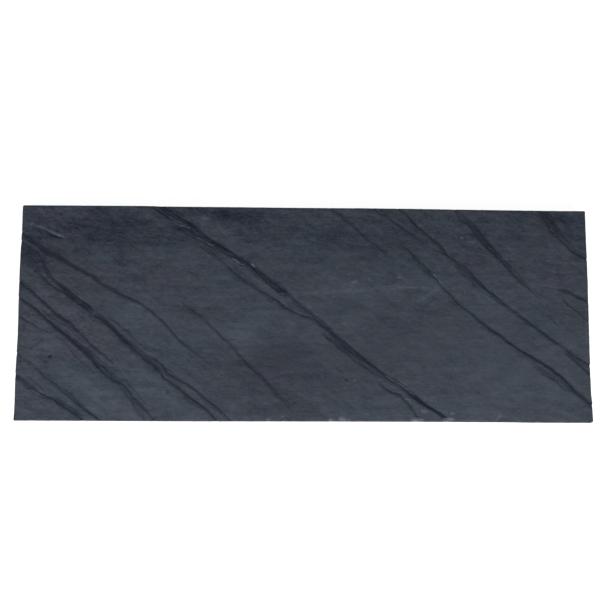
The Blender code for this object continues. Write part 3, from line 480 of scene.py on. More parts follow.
# Broad soft dark bands beside and between the clefts.
BANDS = dict(
    great_band=stroke((7, 8, 8.4, 7.6, 7, 7.4, 7.4, 7, 6, 5.8, 6, 7, 7.2, 6.2, 4.6, 3.4),
        (0.6, 0.64, 0.62, 0.7, 0.72, 0.7, 0.7, 0.68, 0.68, 0.62, 0.68, 0.68, 0.68, 0.68, 0.66, 0.56),
        (-207, 148), (-195, 143), (-180, 133.5), (-165, 121), (-150, 108.5), (-135, 98.5), (-120, 90.5),
        (-108, 83.5), (-100, 79.5), (-90, 74), (-80, 67), (-70, 58.5), (-60, 50), (-50, 43.5),
        (-40, 38), (-28, 31.5), (-22, 26.5)),
    great_blunt=stroke((3, 5.6, 6.2, 6.2, 5), (0.5, 0.66, 0.76, 0.8, 0.7), (-66, 54), (-55, 45),
        (-45, 37.5), (-35, 31), (-18, 20.5)),
    great_top=stroke((4, 6, 6.5, 5), (0.6, 0.68, 0.62, 0.5), (-219, 152), (-206, 145), (-194, 137),
        (-182, 129)),
    great_fray=stroke(4.5, 0.2, (-182, 121), (-170, 113), (-158, 104), (-146, 95), (-134, 86),
        (-122, 78), (-112, 70)),
    great_low_line=stroke((1.8, 2.4, 2.4, 2.2, 2.4, 2.8), (0.5, 0.5, 0.45, 0.45, 0.5, 0.5), (-108, 62),
        (-95, 53), (-80, 42), (-60, 29.5), (-42, 19), (-28, 7), (-12, -1)),
    great_mottle=stroke((4, 6.5, 5.5), 0.42, (-24, 22), (-12, 12), (0, 4), (12, -5)),
    great_middle=stroke((4, 5, 6, 7.2, 7.2, 5.8, 4.6, 3.6),
        (0.56, 0.58, 0.62, 0.64, 0.62, 0.62, 0.58, 0.45), (8, -4), (22, -16), (36, -28), (50, -42),
        (64, -53), (78, -62), (92, -71), (106, -83)),
    great_crumble=stroke((2.2, 2.8, 3.2, 3.4, 3.4, 3.2, 3, 2.6, 2),
        (0.4, 0.55, 0.6, 0.6, 0.6, 0.5, 0.5, 0.5, 0.35), (20, -24), (29, -33), (41, -42), (52, -51),
        (62, -58.5), (71, -65), (82, -72), (93, -81), (108, -91)),
    great_end=stroke((2.5, 3, 3.4, 3.8, 3.2, 2.6), (0.4, 0.4, 0.6, 0.9, 0.9, 0.8), (104, -82),
        (125, -97), (145, -111), (162, -123), (180, -135), (199, -149)),
    north_gloom=stroke((12, 14, 13), (0.3, 0.32, 0.3), (-140, 143), (-100, 140), (-62, 139)),
    coin_mark=stroke(2.4, 0.35, (-48, -12), (-44, -16), (-39, -20)),
    northwest_gloom=stroke((7, 9, 7), 0.2, (-300, 141), (-278, 126), (-256, 108)),
    northwest_gloom_b=stroke((3, 4, 4), 0.3, (-252, 99), (-228, 97), (-200, 96)),
    northwest_blot=stroke((6, 7), 0.3, (-328, 90), (-318, 84)),
    great_branch_cloud=stroke((2.5, 4.5, 3), 0.35, (141, -123), (147, -130), (153, -136)),
    great_strand_soft=stroke(3, 0.3, (62, -60), (75, -68), (88, -78), (100, -87)),
    west_fork=stroke((3.5, 4.5, 4.8, 5, 5), (0.55, 0.65, 0.72, 0.7, 0.65), (-356, 46), (-345, 37.5),
        (-332, 27.5), (-318, 15.5), (-304, 5), (-292, -5)),
    west_fork_soft=stroke(3.2, 0.4, (-385, 84), (-376, 76), (-369, 66), (-362, 54), (-355, 45)),
    west_root=stroke(11, 0.3, (-402, 92), (-388, 80), (-374, 66), (-362, 54)),
    west_broad=stroke((4.8, 4.6, 4.8, 5.2, 4.6, 4.6, 5.5, 5),
        (0.68, 0.68, 0.76, 0.78, 0.68, 0.6, 0.62, 0.58), (-297, 0), (-284, -9), (-270, -21),
        (-257, -33), (-243, -45), (-230, -56), (-216, -68), (-203, -80), (-196, -90)),
    west_broad_end=stroke((3.8, 3.2, 3.4, 3, 3.2, 3.4), (0.5, 0.5, 0.55, 0.4, 0.45, 0.5), (-196, -90),
        (-182, -100), (-168, -111), (-152, -123), (-137, -134), (-122, -149)),
    west_upper_end=stroke((2.6, 2.4, 2.2, 3.5, 4), (0.45, 0.4, 0.35, 0.35, 0.3), (-204, -69),
        (-190, -84), (-165, -99), (-140, -118), (-122, -132), (-106, -149)),
    west_companion_soft=stroke(2.6, 0.3, (-278, -5), (-262, -16), (-246, -30), (-230, -46)),
    southwest_root=stroke((5, 6, 4.5), 0.42, (-402, -91), (-390, -94), (-378, -103), (-366, -110)),
    southwest_end=stroke((3.4, 4.5, 4.5, 4), (0.45, 0.6, 0.6, 0.65), (-356, -117), (-343, -122),
        (-330, -130), (-316, -138), (-303, -149)),
    southwest_main_soft=stroke((2.2, 2.4, 2.6, 3, 3, 2.6), (0.35, 0.3, 0.35, 0.45, 0.6, 0.6),
        (-401, -56), (-380, -71), (-358, -89), (-340, -104), (-320, -119), (-300, -136), (-283, -149)),
    northeast_soft=stroke((4, 5, 5.8, 6, 5.2, 4.6, 3.8, 3),
        (0.4, 0.58, 0.74, 0.82, 0.76, 0.6, 0.5, 0.3), (212, 150), (222, 138), (235, 127), (248, 112),
        (260, 97), (272, 83), (287, 68), (303, 52), (318, 38)),
    northeast_fade=stroke(5, 0.2, (316, 40), (326, 31), (338, 20)),
    corner_soft=stroke((8, 9.5, 8, 6.5, 5.2, 3.4), (0.5, 0.55, 0.5, 0.5, 0.55, 0.5), (335, 151),
        (342, 141), (349, 132), (356, 122), (364, 112), (372, 103)),
    corner_line=stroke((2.6, 2.6, 3.2), 0.5, (368, 104), (378, 95.5), (388, 88.5), (402, 79)),
    corner_far=stroke(2.6, 0.3, (362, 142), (371, 131), (378, 119), (384, 110)),
    east_soft=stroke((2.8, 2.6, 2.6, 3, 3), (0.4, 0.35, 0.4, 0.5, 0.5), (130, 149), (145, 139),
        (160, 123), (180, 105), (198, 87)),
    east_teal=stroke((8, 10, 10, 8), 0.26, (128, 132), (145, 120), (162, 110), (180, 96)),
    east_wide=stroke((3.5, 5.4, 5.6, 5.2, 4.8, 4.2, 3), (0.45, 0.55, 0.56, 0.55, 0.5, 0.45, 0.35),
        (203, 80), (215, 68), (228, 58), (240, 47), (252, 37), (265, 27), (278, 16), (292, 4)),
    east_low_soft=stroke((3.2, 3.4, 3.2, 3), (0.45, 0.5, 0.55, 0.5), (296, 2), (312, -9), (328, -20),
        (345, -33), (360, -43)),
    east_end=stroke((4, 5.2, 3, 2.4, 2.4), (0.5, 0.55, 0.5, 0.5, 0.5), (360, -44), (370, -52),
        (380, -58), (390, -64), (401, -70)),
    east_end_low=stroke(2.2, 0.5, (374, -58), (383, -66), (392, -75), (402, -86)),
    southeast_start=stroke((2.2, 2.6, 2.6, 3), (0.35, 0.45, 0.5, 0.4), (132, 104), (148, 88), (165, 71),
        (181, 53)),
    southeast_purple=stroke(5, 0.2, (162, 64), (172, 56), (180, 49)),
    southeast_soft=stroke((2.6, 2.6, 2.8, 2.4, 2.4, 2.6, 3.2, 3.4),
        (0.35, 0.35, 0.45, 0.6, 0.7, 0.6, 0.6, 0.6), (191, 41), (215, 17), (243, -7), (270, -28),
        (298, -47), (325, -64), (350, -80), (372, -101), (400, -125)),
    southeast_lower=stroke((3.2, 4.2, 4.4, 3.6, 3), (0.15, 0.4, 0.5, 0.5, 0.4), (306, -60), (320, -69),
        (336, -81), (352, -92), (367, -103), (384, -114)),
    west_upper_soft=stroke((5.2, 5.4, 5, 4.6, 3.6, 3.4, 4.2, 3.8, 3, 2.2, 2),
        (0.45, 0.62, 0.72, 0.68, 0.66, 0.7, 0.52, 0.55, 0.5, 0.42, 0.38), (-401, 108), (-386, 100),
        (-374, 92), (-360, 82), (-345, 75), (-328, 65), (-310, 56), (-293, 46), (-276, 34),
        (-256, 24.5), (-232, 12), (-214, -1)),
    west_upper_tail=stroke((1.8, 2, 2.4, 4, 4.5), (0.3, 0.35, 0.35, 0.3, 0.2), (-210, -3), (-192, -21),
        (-176, -38), (-160, -50), (-148, -59), (-134, -70)),
    west_middle_soft=stroke((2.4, 2.6, 2.8, 2.2, 1.8, 1.8), (0.45, 0.45, 0.6, 0.5, 0.4, 0.3),
        (-401, 44), (-385, 31), (-368, 14), (-348, -3), (-322, -24), (-300, -43), (-262, -76)),
    west_low_soft=stroke((3.5, 2.6, 3, 3.6, 4.6, 5.8, 6.8, 6.2, 4.5),
        (0.35, 0.4, 0.62, 0.72, 0.74, 0.72, 0.72, 0.6, 0.4), (-401, 19), (-382, 8), (-362, -9),
        (-342, -25), (-322, -41), (-305, -55), (-290, -70), (-276, -82), (-262, -93), (-248, -104)),
    west_low_purple=stroke(6, 0.3, (-284, -76), (-274, -84), (-264, -91)),
    west_low_fan=stroke((6, 6.5, 6.5, 7), (0.25, 0.25, 0.3, 0.32), (-252, -102), (-240, -116),
        (-228, -130), (-213, -149)),
    west_low_shadow=stroke(4.5, 0.26, (-352, -29), (-340, -38), (-326, -52), (-310, -67), (-292, -83)),
    west_short_soft=stroke((1.8, 2, 2.6), 0.35, (-401, -7), (-385, -15), (-368, -23), (-352, -29)),
    centre_soft=stroke((2.2, 2, 1.8, 2.6, 3.4, 4, 4, 5),
        (0.35, 0.35, 0.25, 0.35, 0.35, 0.5, 0.45, 0.25), (-184, 21), (-165, 7), (-147, -7), (-127, -24),
        (-104, -45), (-86, -66), (-70, -80), (-54, -97), (-32, -120), (-12, -138)),
    centre_blot=stroke(2.4, 0.4, (-97, -64), (-92, -69), (-87, -74)),
    north_thin_soft=stroke((4, 4.5, 2.4, 2.2, 2, 1.8), (0.35, 0.4, 0.4, 0.35, 0.25, 0.2), (37, 149),
        (50, 139), (66, 126), (84, 107), (105, 92), (130, 70)),
    north_short_soft=stroke((1.6, 2.4, 2.6, 3, 3), (0.4, 0.45, 0.5, 0.3, 0.2), (102, 148), (118, 136),
        (134, 126), (152, 114), (168, 103)),
    twig_soft=stroke((1.8, 3, 3, 2.6), (0.3, 0.7, 0.65, 0.6), (350, 38), (362, 35.5), (380, 29),
        (402, 18)),
    twig_low_soft=stroke((2, 2.2, 2.8), 0.45, (362, 28), (371, 15), (384, 6), (402, -7)),
    south_dark_edge=stroke(2.5, 0.3, (264, -150), (275, -147), (288, -150)),
)

# Pale scuffs, light streaks, and ledge rims that are partly chipped and partly painted highlight.
SCUFFS_AND_HIGHLIGHTS = dict(
    # Ledge rims: partly chipped crests, partly a painted highlight where they face the light.
    great_rim_a=pale_stroke(0.8, 0.38, (-156, 106.5), (-150, 104), (-144, 101)),
    great_rim_b=pale_stroke(0.9, 0.4, (-141, 99), (-135, 96), (-128, 94.5)),
    great_rim_c=pale_stroke(1, 0.42, (-181, 124), (-172, 121.5), (-163, 117.5)),
    great_gap_a=pale_stroke(1.3, 0.28, (-197, 137), (-188, 132), (-178, 127), (-168, 121.5)),
    great_gap_b=pale_stroke(1.2, 0.22, (-178, 136), (-170, 132), (-163, 128)),
    great_rim_d=pale_stroke(1, 0.55, (-88, 77.5), (-84, 75)),
    great_rim_e=pale_stroke(1.1, 0.6, (-79, 70), (-75, 67.5), (-71, 64.5)),
    great_rim_f=pale_stroke(0.9, 0.55, (-105, 77.5), (-99, 74), (-93, 70.5)),
    great_rim_g=pale_stroke(0.7, 0.4, (-101, 72.5), (-95, 69.5), (-89, 68.5), (-82, 70.5)),
    great_rim_h=pale_stroke(0.7, 0.35, (-95, 64.5), (-89, 63.5), (-83, 65)),
    great_rim_i=pale_stroke(1, 0.42, (-38, 29), (-34, 27.5), (-30, 24.5)),
    great_pale_a=pale_stroke((1.5, 2.2, 1.8), 0.22, (-39, 21), (-33, 16), (-26, 9)),
    great_pale_b=pale_stroke((2, 3, 2), 0.3, (-1, 14), (4, 10), (8, 6)),
    great_pale_c=pale_stroke(1.4, 0.3, (9, 1), (14, -2), (19, -3)),
    great_pale_d=pale_stroke((1.5, 2, 1.5), 0.16, (-70, 48), (-58, 40), (-46, 32)),
    great_pale_e=pale_stroke(0.7, 0.3, (-168, 109), (-158, 101), (-148, 94)),
    great_pale_f=pale_stroke(0.7, 0.3, (-152, 98), (-143, 91), (-136, 84)),
    great_pale_g=pale_stroke(0.6, 0.4, (110, -85.5), (121, -92.5), (132, -100)),
    great_pale_h=pale_stroke(0.6, 0.4, (128, -95.5), (140, -103.5), (152, -113.5)),
    great_pale_i=pale_stroke(1.5, 0.35, (137, -117), (143, -119), (148, -124)),
    great_pale_j=pale_stroke((1.5, 2.5, 1.5), 0.35, (158, -133), (164, -135.5), (172, -134.5)),
    north_scuff_a=pale_stroke((1.4, 2, 1.4), 0.36, (-150, 136), (-143, 133), (-138, 131)),
    north_scuff_b=pale_stroke(0.8, 0.34, (-130, 128.5), (-127, 126), (-123, 122), (-119, 118.5)),
    north_scuff_c=pale_stroke(0.9, 0.3, (-122, 121), (-116, 113), (-112, 110)),
    north_scuff_d=pale_stroke(0.6, 0.35, (-133, 140), (-128, 133)),
    north_scuff_e=pale_stroke(1.5, 0.25, (-185, 112), (-196, 109), (-203, 108)),
    north_light_a=pale_stroke((2, 3, 2), 0.14, (-75, 92), (-50, 91), (-30, 89), (-15, 86)),
    east_scuff_a=pale_stroke(1.2, 0.65, (211, 112), (214, 110.5)),
    east_scuff_b=pale_stroke(1.1, 0.6, (218, 110), (221, 109.5), (225, 107.5)),
    east_scuff_c=pale_stroke(1.4, 0.3, (226, 104), (234, 103), (243, 101.5)),
    # More ledge rims: partly chipped, partly painted highlight.
    east_rim_a=pale_stroke(0.9, 0.4, (160, 128), (164, 125), (168, 121.5)),
    east_rim_b=pale_stroke(0.7, 0.4, (264, 33.5), (271, 27.5), (278, 22)),
    east_rim_c=pale_stroke(0.8, 0.3, (223, 36), (225, 31), (225, 27)),
    east_rim_d=pale_stroke(0.9, 0.3, (276, 80), (285, 79), (294, 80)),
    east_rim_e=pale_stroke(0.8, 0.4, (180, 58), (182, 55), (184, 51)),
    east_rim_f=pale_stroke(1.3, 0.3, (187, 50), (190, 46), (195, 43)),
    long_streak_a=pale_stroke((2, 2.8, 3, 2.6, 2.4, 2.4, 1.8), (0.12, 0.16, 0.16, 0.14, 0.18, 0.16, 0.1),
        (-22, 27.5), (10, 28.5), (45, 31), (75, 34), (104, 36.5), (140, 37.5), (186, 37)),
    long_streak_b=pale_stroke((1.2, 1.5, 1.2), 0.26, (122, 38), (133, 37.5), (147, 36.5)),
    mid_scuff_a=pale_stroke((2, 2.8, 2), 0.24, (60, 42), (67, 44), (76, 45)),
    mid_scuff_b=pale_stroke((1.2, 1.6, 1.2), 0.3, (87, 53), (91, 48), (97, 46)),
    mid_scuff_c=pale_stroke((1.8, 2.4, 1.6), 0.36, (127, 53), (132, 52), (136, 50)),
    mid_scuff_d=pale_stroke(1.2, 0.2, (78, 70), (83, 71), (88, 68)),
    mid_scuff_e=pale_stroke((2, 2.8, 2), 0.17, (48, -12), (52, -13), (58, -14)),
    fan_a=pale_stroke((2.5, 3, 2), 0.16, (150, 14), (170, 25), (192, 37)),
    fan_b=pale_stroke(2, 0.13, (163, -8), (180, 16), (195, 35)),
    fan_c=pale_stroke(1.8, 0.14, (200, 36), (213, 24), (219, 8)),
    # A ledge rim: partly chipped, partly painted highlight.
    northwest_rim=pale_stroke((1.8, 2.6, 1.8, 2, 2.4, 1.8, 1.4), (0.2, 0.32, 0.32, 0.28, 0.36, 0.32, 0.24),
        (-397, 122.5), (-388, 123), (-380, 121), (-370, 117), (-358, 112), (-347, 107), (-333, 102)),
    northwest_fleck_a=pale_stroke(1.2, 0.4, (-330, 124), (-329, 121)),
    northwest_fleck_b=pale_stroke(1, 0.35, (-330, 113), (-326, 112)),
    northwest_fleck_c=pale_stroke(1.4, 0.22, (-378, 67), (-372, 66), (-367, 67)),
    northwest_fleck_d=pale_stroke(1.2, 0.3, (-376, 132), (-373, 132)),
    west_edge_pale=pale_stroke(1.6, 0.25, (-398, 20), (-398.5, 5), (-398.5, -2)),
    west_pale_a=pale_stroke(1.8, 0.2, (-262, 64), (-255, 62), (-250, 58)),
    east_rim=pale_stroke((1.6, 2.2, 2.2), 0.16, (396, -60), (396.5, -20), (396, 20)),
    east_end_pale=pale_stroke(0.8, 0.3, (364, -40), (372, -46), (380, -53)),
    south_chip_a=pale_stroke((1.8, 2.6, 1.8), 0.7, (31, -148.5), (35, -147), (38, -148.5)),
    south_chip_b=pale_stroke((1.7, 3, 2.2, 1.7), 0.62, (44, -148.5), (49, -146.5), (55, -148), (60, -147)),
    south_chip_c=pale_stroke((1.5, 2.4), 0.7, (60, -149), (62.5, -146)),
    south_chip_d=pale_stroke((1.5, 2.6, 2.2, 1.5), 0.75, (143, -149), (152, -147.5), (160, -147),
        (167, -149)),
    south_chip_e=pale_stroke((2, 3.2, 2.6, 1.6), 0.7, (188, -147), (196, -147.5), (203, -146), (210, -149)),
    south_chip_f=pale_stroke((1.6, 2.4, 1.6), 0.4, (199, -140), (204, -138), (209, -139)),
    south_chip_g=pale_stroke((1.2, 1.6, 1.2), 0.45, (263, -149), (268, -144), (275, -139.5)),
    south_chip_h=pale_stroke(1.2, 0.35, (290, -141), (294, -146), (300, -149)),
    south_chip_i=pale_stroke((1.4, 2, 1.4), 0.4, (-34, -146), (-31, -143.5), (-28, -144)),
    south_chip_j=pale_stroke((1.4, 2.2, 1.4), 0.4, (-56, -149), (-51, -147), (-47, -149)),
)

# Soft oval patches of lighter, darker, warmer and cooler colour, as (x, y, reach, reach across, turn,
# paler, warmer).
PATCHES = (
    (-375, 80, 30, 22, -30, -0.45, 0.5), (-260, 112, 60, 22, 0, -0.3, 0.1),
    (-262, 95, 12, 10, 0, -0.3, 0.1), (-200, 98, 14, 9, 0, -0.3, 0), (-320, 85, 12, 12, 0, -0.2, 0.4),
    (-105, 137, 30, 15, 0, -0.25, 0.1), (-290, 138, 16, 9, 0, -0.25, 0.1),
    (-362, 128, 12, 6, 0, -0.3, 0), (-320, 143, 15, 4, 0, 0.3, 0.1), (-220, 132, 11, 7, 0, 0.35, 0),
    (-240, 109, 10, 6, 0, -0.1, -0.6), (233, 92, 30, 18, -35, -0.2, 0.3),
    (343, 136, 7, 6, 0, -0.7, 2.2), (379, 103, 5, 4, 0, 0.1, -1), (-45, 142, 16, 8, 0, -0.3, -0.3),
    (-142, 125, 14, 12, -40, 0.5, 0), (-110, 112, 25, 8, -35, 0.4, 0), (20, 138, 60, 14, 0, 0.45, -0.1),
    (60, 105, 60, 12, -10, -0.15, -0.2), (64, 43, 10, 5, 0, 0.4, -0.4), (131, 39, 12, 6, 0, 0.55, -0.3),
    (185, 34, 12, 5, 0, 0.35, 0), (-40, -65, 40, 28, 0, -0.5, 0.8),
    (-105, -80, 35, 16, -20, -0.35, 0.6), (-30, -120, 50, 30, 0, -0.3, 0.4),
    (130, -15, 58, 20, 15, -0.3, 0.15), (-92, -25, 26, 16, -20, 0.5, -0.3),
    (62, -10, 14, 12, 0, 0.45, -0.2), (-232, 4, 32, 18, -35, 0.35, -0.3),
    (-300, -105, 38, 12, -38, 0.6, -0.5), (-215, -105, 48, 18, -38, 0.45, -0.6),
    (-240, -138, 34, 12, -35, 0.4, -0.4), (-335, 52, 22, 14, -35, 0, 1.4),
    (-292, 54, 18, 10, -20, 0.1, 1.2), (-352, 84, 16, 8, -30, -0.1, 1.1), (-350, 8, 14, 24, -20, 0, 1),
    (-300, -24, 30, 11, -50, 0.05, 0.9), (-325, -52, 14, 8, 0, 0.1, 0.6),
    (-275, -112, 10, 6, 0, 0.1, 0.7), (-370, 140, 45, 14, 0, 0.15, 0.5),
    (-190, 36, 110, 26, -8, 0, 0.4), (-300, 120, 110, 30, 0, -0.05, 0.35),
    (290, 95, 100, 45, -30, 0, 0.4), (382, 10, 28, 40, -30, -0.1, 0.35), (130, 130, 60, 20, 0, 0, -0.3),
    (62, 125, 32, 16, -40, 0.05, -0.6), (140, 52, 75, 11, 0, 0.15, -0.6),
    (270, -120, 110, 28, 15, 0.15, -0.7), (-50, -146, 110, 8, 0, 0.25, -0.8),
    (-20, 85, 150, 40, 0, 0.05, -0.25), (342, 137, 18, 12, -40, -0.2, 1.2),
    (372, 70, 8, 14, 0, 0.1, 0.6), (-393, 130, 18, 18, 0, 0.35, 0.1), (312, 115, 42, 26, 0, 0.3, 0.1),
    (345, -62, 26, 14, -35, 0.05, 0.5), (-160, 80, 60, 26, -15, 0.05, -0.1),
    (130, -95, 60, 20, -10, -0.1, -0.1), (40, -100, 70, 24, 0, -0.2, 0),
    (160, -115, 40, 18, -35, 0.1, -0.5), (-385, -90, 30, 60, 0, 0.28, 0.1),
    (-300, -130, 34, 18, 0, 0.3, 0), (-250, -15, 40, 25, -30, 0.25, 0.1),
    (-382, 5, 14, 28, 0, 0.25, 0.2), (-280, 46, 60, 12, -20, -0.35, 0.1),
    (-385, 135, 25, 16, 0, -0.35, -0.4), (-312, 132, 40, 14, 0, -0.25, 0),
    (-372, 108, 20, 12, 0, -0.2, 0), (-15, -142, 60, 14, 0, -0.45, 0.1), (0, -55, 26, 16, 0, -0.3, 0.1),
    (0, -95, 60, 34, 0, -0.2, 0), (105, -65, 80, 28, 0, -0.3, 0), (180, -45, 34, 16, 0, -0.2, 0.1),
    (200, -105, 70, 20, 0, -0.3, 0), (300, -138, 20, 12, 0, -0.3, 0.1),
    (-140, -75, 20, 10, 0, -0.3, 0.2), (300, 38, 60, 30, 0, 0.28, 0.1), (-60, 10, 20, 18, 0, 0.2, 0.1),
    (-100, 85, 26, 20, 0, 0.25, 0), (100, 75, 16, 10, 0, 0.2, 0), (180, 45, 40, 12, 0, 0.2, 0),
    (-140, -15, 18, 12, 0, 0.25, 0), (-345, -10, 55, 55, 0, 0, 0.35), (268, 42, 50, 25, 0, 0, 0.35),
    (380, -15, 18, 20, 0, 0, 0.4), (42, -108, 44, 20, 0, 0, -0.5), (110, 125, 60, 18, 0, 0, -0.3),
    (258, -132, 30, 12, 0, 0, -0.4), (390, -138, 12, 12, 0, 0.1, -0.4),
    (-212, 99, 18, 5, -5, -0.35, -0.2), (-262, 78, 7, 18, 15, -0.3, 0.1),
    (-100, 138, 44, 11, 0, -0.3, -0.1), (-222, 135, 9, 6, 0, 0.2, 0), (-180, 138, 14, 9, -35, 0.25, 0),
    (-60, 137, 26, 11, 0, -0.45, 0), (368, 137, 28, 14, 0, -0.4, -0.1),
    (302, 107, 22, 14, 0, -0.35, -0.1), (-332, 46, 28, 9, -30, -0.35, -0.1),
    (-222, 46, 26, 12, 0, -0.4, 0), (-342, 15, 16, 10, -35, -0.4, 0), (-300, -14, 16, 9, -30, -0.25, 0),
    (-382, -76, 16, 12, 0, 0.25, 0), (-222, -76, 14, 10, 0, 0.3, 0), (-385, -136, 18, 13, 0, 0.3, 0),
    (-300, -136, 14, 10, 0, 0.35, 0), (-140, -136, 13, 9, 0, 0.25, 0), (182, -138, 14, 9, 0, 0.3, 0.1),
    (-62, -136, 16, 10, 0, -0.25, 0), (62, -42, 14, 10, 0, 0.25, 0), (140, 15, 18, 10, 0, -0.3, 0.1),
    (-222, 136, 12, 8, 0, 0.25, 0), (180, 55, 30, 14, 0, 0.1, -0.1), (-20, -15, 10, 12, 0, 0.5, 0.6),
    (-380, 15, 16, 20, 0, 0.1, 0.3), (253, -79, 52, 7, 28, 0.3, 0), (291, -90, 44, 7, 35, 0.3, 0),
    (356, -98, 28, 6, 54, 0.3, 0), (172, 26, 26, 4, 28, 0.3, -0.1), (82, 33, 100, 4, 3, 0.3, -0.1),
)


def smooth(amount):
    """Ease 0..1 in and out."""
    amount = np.clip(amount, 0.0, 1.0)
    return amount * amount * (3.0 - 2.0 * amount)


def fractal(place, detail):
    """Fractal noise of about -1..1 at a place, with its largest grains one unit long."""
    return noise.fractal(Vector(place), OCTAVE_FADE, OCTAVE_STEP, detail)


def plan_noise(points, east, north, detail, shift):
    """Fractal noise of about -1..1 at plan points, stretched to the given lengths."""
    east, north = metres((east, north))
    return np.array([
        fractal((x / east + shift, y / north - shift, shift), detail)
        for x, y in points
    ])


def closed_edges(count, first=0):
    """The edges of a closed loop of points."""
    return [(first + i, first + (i + 1) % count) for i in range(count)]


def as_tuples(rows):
    """The rows of an array as tuples."""
    return [tuple(row) for row in rows]


# Outline ---------------------------------------------------------------------------------------

def side_point(side, along):
    """The plan position of a place along a sawn side."""
    places, distances = metres(WANDER[side]).T
    out = float(np.interp(along, places, distances))
    return {
        "south": (along, -WIDTH / 2 - out),
        "east": (LENGTH / 2 + out, along),
        "north": (along, WIDTH / 2 + out),
        "west": (-LENGTH / 2 - out, along),
    }[side]


def corner_arc(last, side, radius, first_angle):
    """The inner points of a rounded corner, anticlockwise; the sides bring its two ends."""
    east, north = {"south": (0, 1), "east": (-1, 0), "north": (0, -1), "west": (1, 0)}[side]
    middle = (last[0] + east * radius, last[1] + north * radius)
    angles = [first_angle + 90.0 * step / CORNER_STEPS for step in range(1, CORNER_STEPS)]
    return [
        (
            middle[0] + radius * math.cos(math.radians(angle)),
            middle[1] + radius * math.sin(math.radians(angle)),
        )
        for angle in angles
    ]


def make_outline():
    """The slab's plan outline, anticlockwise from the southwest corner."""
    turns = (
        ("south", "southwest", "southeast", 1),
        ("east", "southeast", "northeast", 1),
        ("north", "northeast", "northwest", -1),
        ("west", "northwest", "southwest", -1),
    )
    outline = []
    for turn, (side, start_corner, end_corner, direction) in enumerate(turns):
        half = LENGTH / 2 if side in ("south", "north") else WIDTH / 2
        start = -direction * (half - CORNER_RADIUS[start_corner])
        stop = direction * (half - CORNER_RADIUS[end_corner])
        count = round(abs(stop - start) / SIDE_SPACING)
        outline += [side_point(side, place) for place in np.linspace(start, stop, count + 1)]
        outline += corner_arc(outline[-1], side, CORNER_RADIUS[end_corner], 90.0 * (turn - 1))
    outline = np.array(outline)
    fret = plan_noise(outline, *FRET_NOISE)
    return outline + inward_normals(outline) * (FRET * fret)[:, None]


def inward_normals(loop):
    """Unit vectors pointing into an anticlockwise loop, one at each of its points."""
    tangents = np.roll(loop, -1, axis=0) - np.roll(loop, 1, axis=0)
    tangents /= np.linalg.norm(tangents, axis=1)[:, None]
    return np.stack([-tangents[:, 1], tangents[:, 0]], axis=1)


def arris_widths(points):
    """The width of the worn top arris at each point near the outline."""
    widths = ARRIS_WIDTH * (1.0 + ARRIS_VARIATION * plan_noise(points, *ARRIS_NOISE))
    on_south = points[:, 1] < -WIDTH / 2 + CHIPPED_BAND
    for place, half_length, extra in metres(CHIPS):
        bite = np.clip(1.0 - abs(points[:, 0] - place) / half_length, 0.0, 1.0)
        widths += np.where(on_south, extra * bite, 0.0)
    return widths


# Lines -----------------------------------------------------------------------------------------

def natural_line(route):
    """A smooth, slightly ragged line through a route's points."""
    padded = np.vstack([2 * route[0] - route[1], route, 2 * route[-1] - route[-2]])
    line = []
    for before, here, there, after in zip(padded, padded[1:], padded[2:], padded[3:]):
        count = max(1, round(float(np.hypot(*(there - here))) / LINE_SPACING))
        for share in np.arange(count) / count:
            line.append(0.5 * (
                2 * here + (there - before) * share
                + (2 * before - 5 * here + 4 * there - after) * share**2
                + (3 * here - before - 3 * there + after) * share**3
            ))
    line = np.array(line + [route[-1]])
    wander = plan_noise(line, *RAGGED_NOISE)
    across, _ = headings_across(line)
    return line + across * (RAGGED * wander)[:, None]


def headings_across(line):
    """The unit vectors to the left of a line at its points, and each point's place along it."""
    runs = np.diff(line, axis=0)
    lengths = np.hypot(runs[:, 0], runs[:, 1])
    runs /= lengths[:, None]
    headings = np.vstack([runs[:1], runs[:-1] + runs[1:], runs[-1:]])
    headings /= np.linalg.norm(headings, axis=1)[:, None]
    places = np.concatenate([[0.0], np.cumsum(lengths)])
    return np.stack([-headings[:, 1], headings[:, 0]], axis=1), places


def line_length(line):
    """The length of a line."""
    return float(np.sum(np.hypot(*np.diff(line, axis=0).T)))


def near_line(points, line, reach):
    """The points within reach of a line: their numbers, distances, sides and places along it.

    The side is +1 left of the line's direction and -1 right of it.
    """
    low, high = line.min(axis=0) - reach, line.max(axis=0) + reach
    numbers = np.flatnonzero(np.all((points > low) & (points < high), axis=1))
    chosen = points[numbers]
    best = np.full(len(chosen), np.inf)
    side = np.ones(len(chosen))
    place = np.zeros(len(chosen))
    travelled = 0.0
    for start, end in zip(line, line[1:]):
        run = end - start
        length = float(np.hypot(*run))
        offset = chosen - start
        share = np.clip(offset @ run / length**2, 0.0, 1.0)
        gap = offset - share[:, None] * run
        distance = np.hypot(gap[:, 0], gap[:, 1])
        closer = distance < best
        best = np.where(closer, distance, best)
        side = np.where(closer, np.sign(run[0] * offset[:, 1] - run[1] * offset[:, 0]), side)
        place = np.where(closer, travelled + share * length, place)
        travelled += length
    within = best < reach
    return numbers[within], best[within], side[within], place[within]


def on_slab(point):
    """Whether a plan point lies on the slab."""
    return abs(point[0]) < LENGTH / 2 and abs(point[1]) < WIDTH / 2


def opening(route, fade, places, length):
    """How open a mark is at places along it: 1, falling to 0 at an end that is on the slab."""
    amount = np.ones(len(places))
    if on_slab(route[0]):
        amount *= smooth(places / fade)
    if on_slab(route[-1]):
        amount *= smooth((length - places) / fade)
    return amount


def waver(ledge, places):
    """How a cleft widens and narrows along itself, about 1."""
    shift = WAVER_SHIFT * sum(ledge.route[0])
    return 1.0 + WAVER_SHARE * np.sin(2.0 * math.pi * places / WAVER_LENGTH + shift)


def along_route(values, place, length):
    """The values, spread evenly along a route, read at places along it."""
    return np.interp(place, np.linspace(0.0, length, len(values)), values)


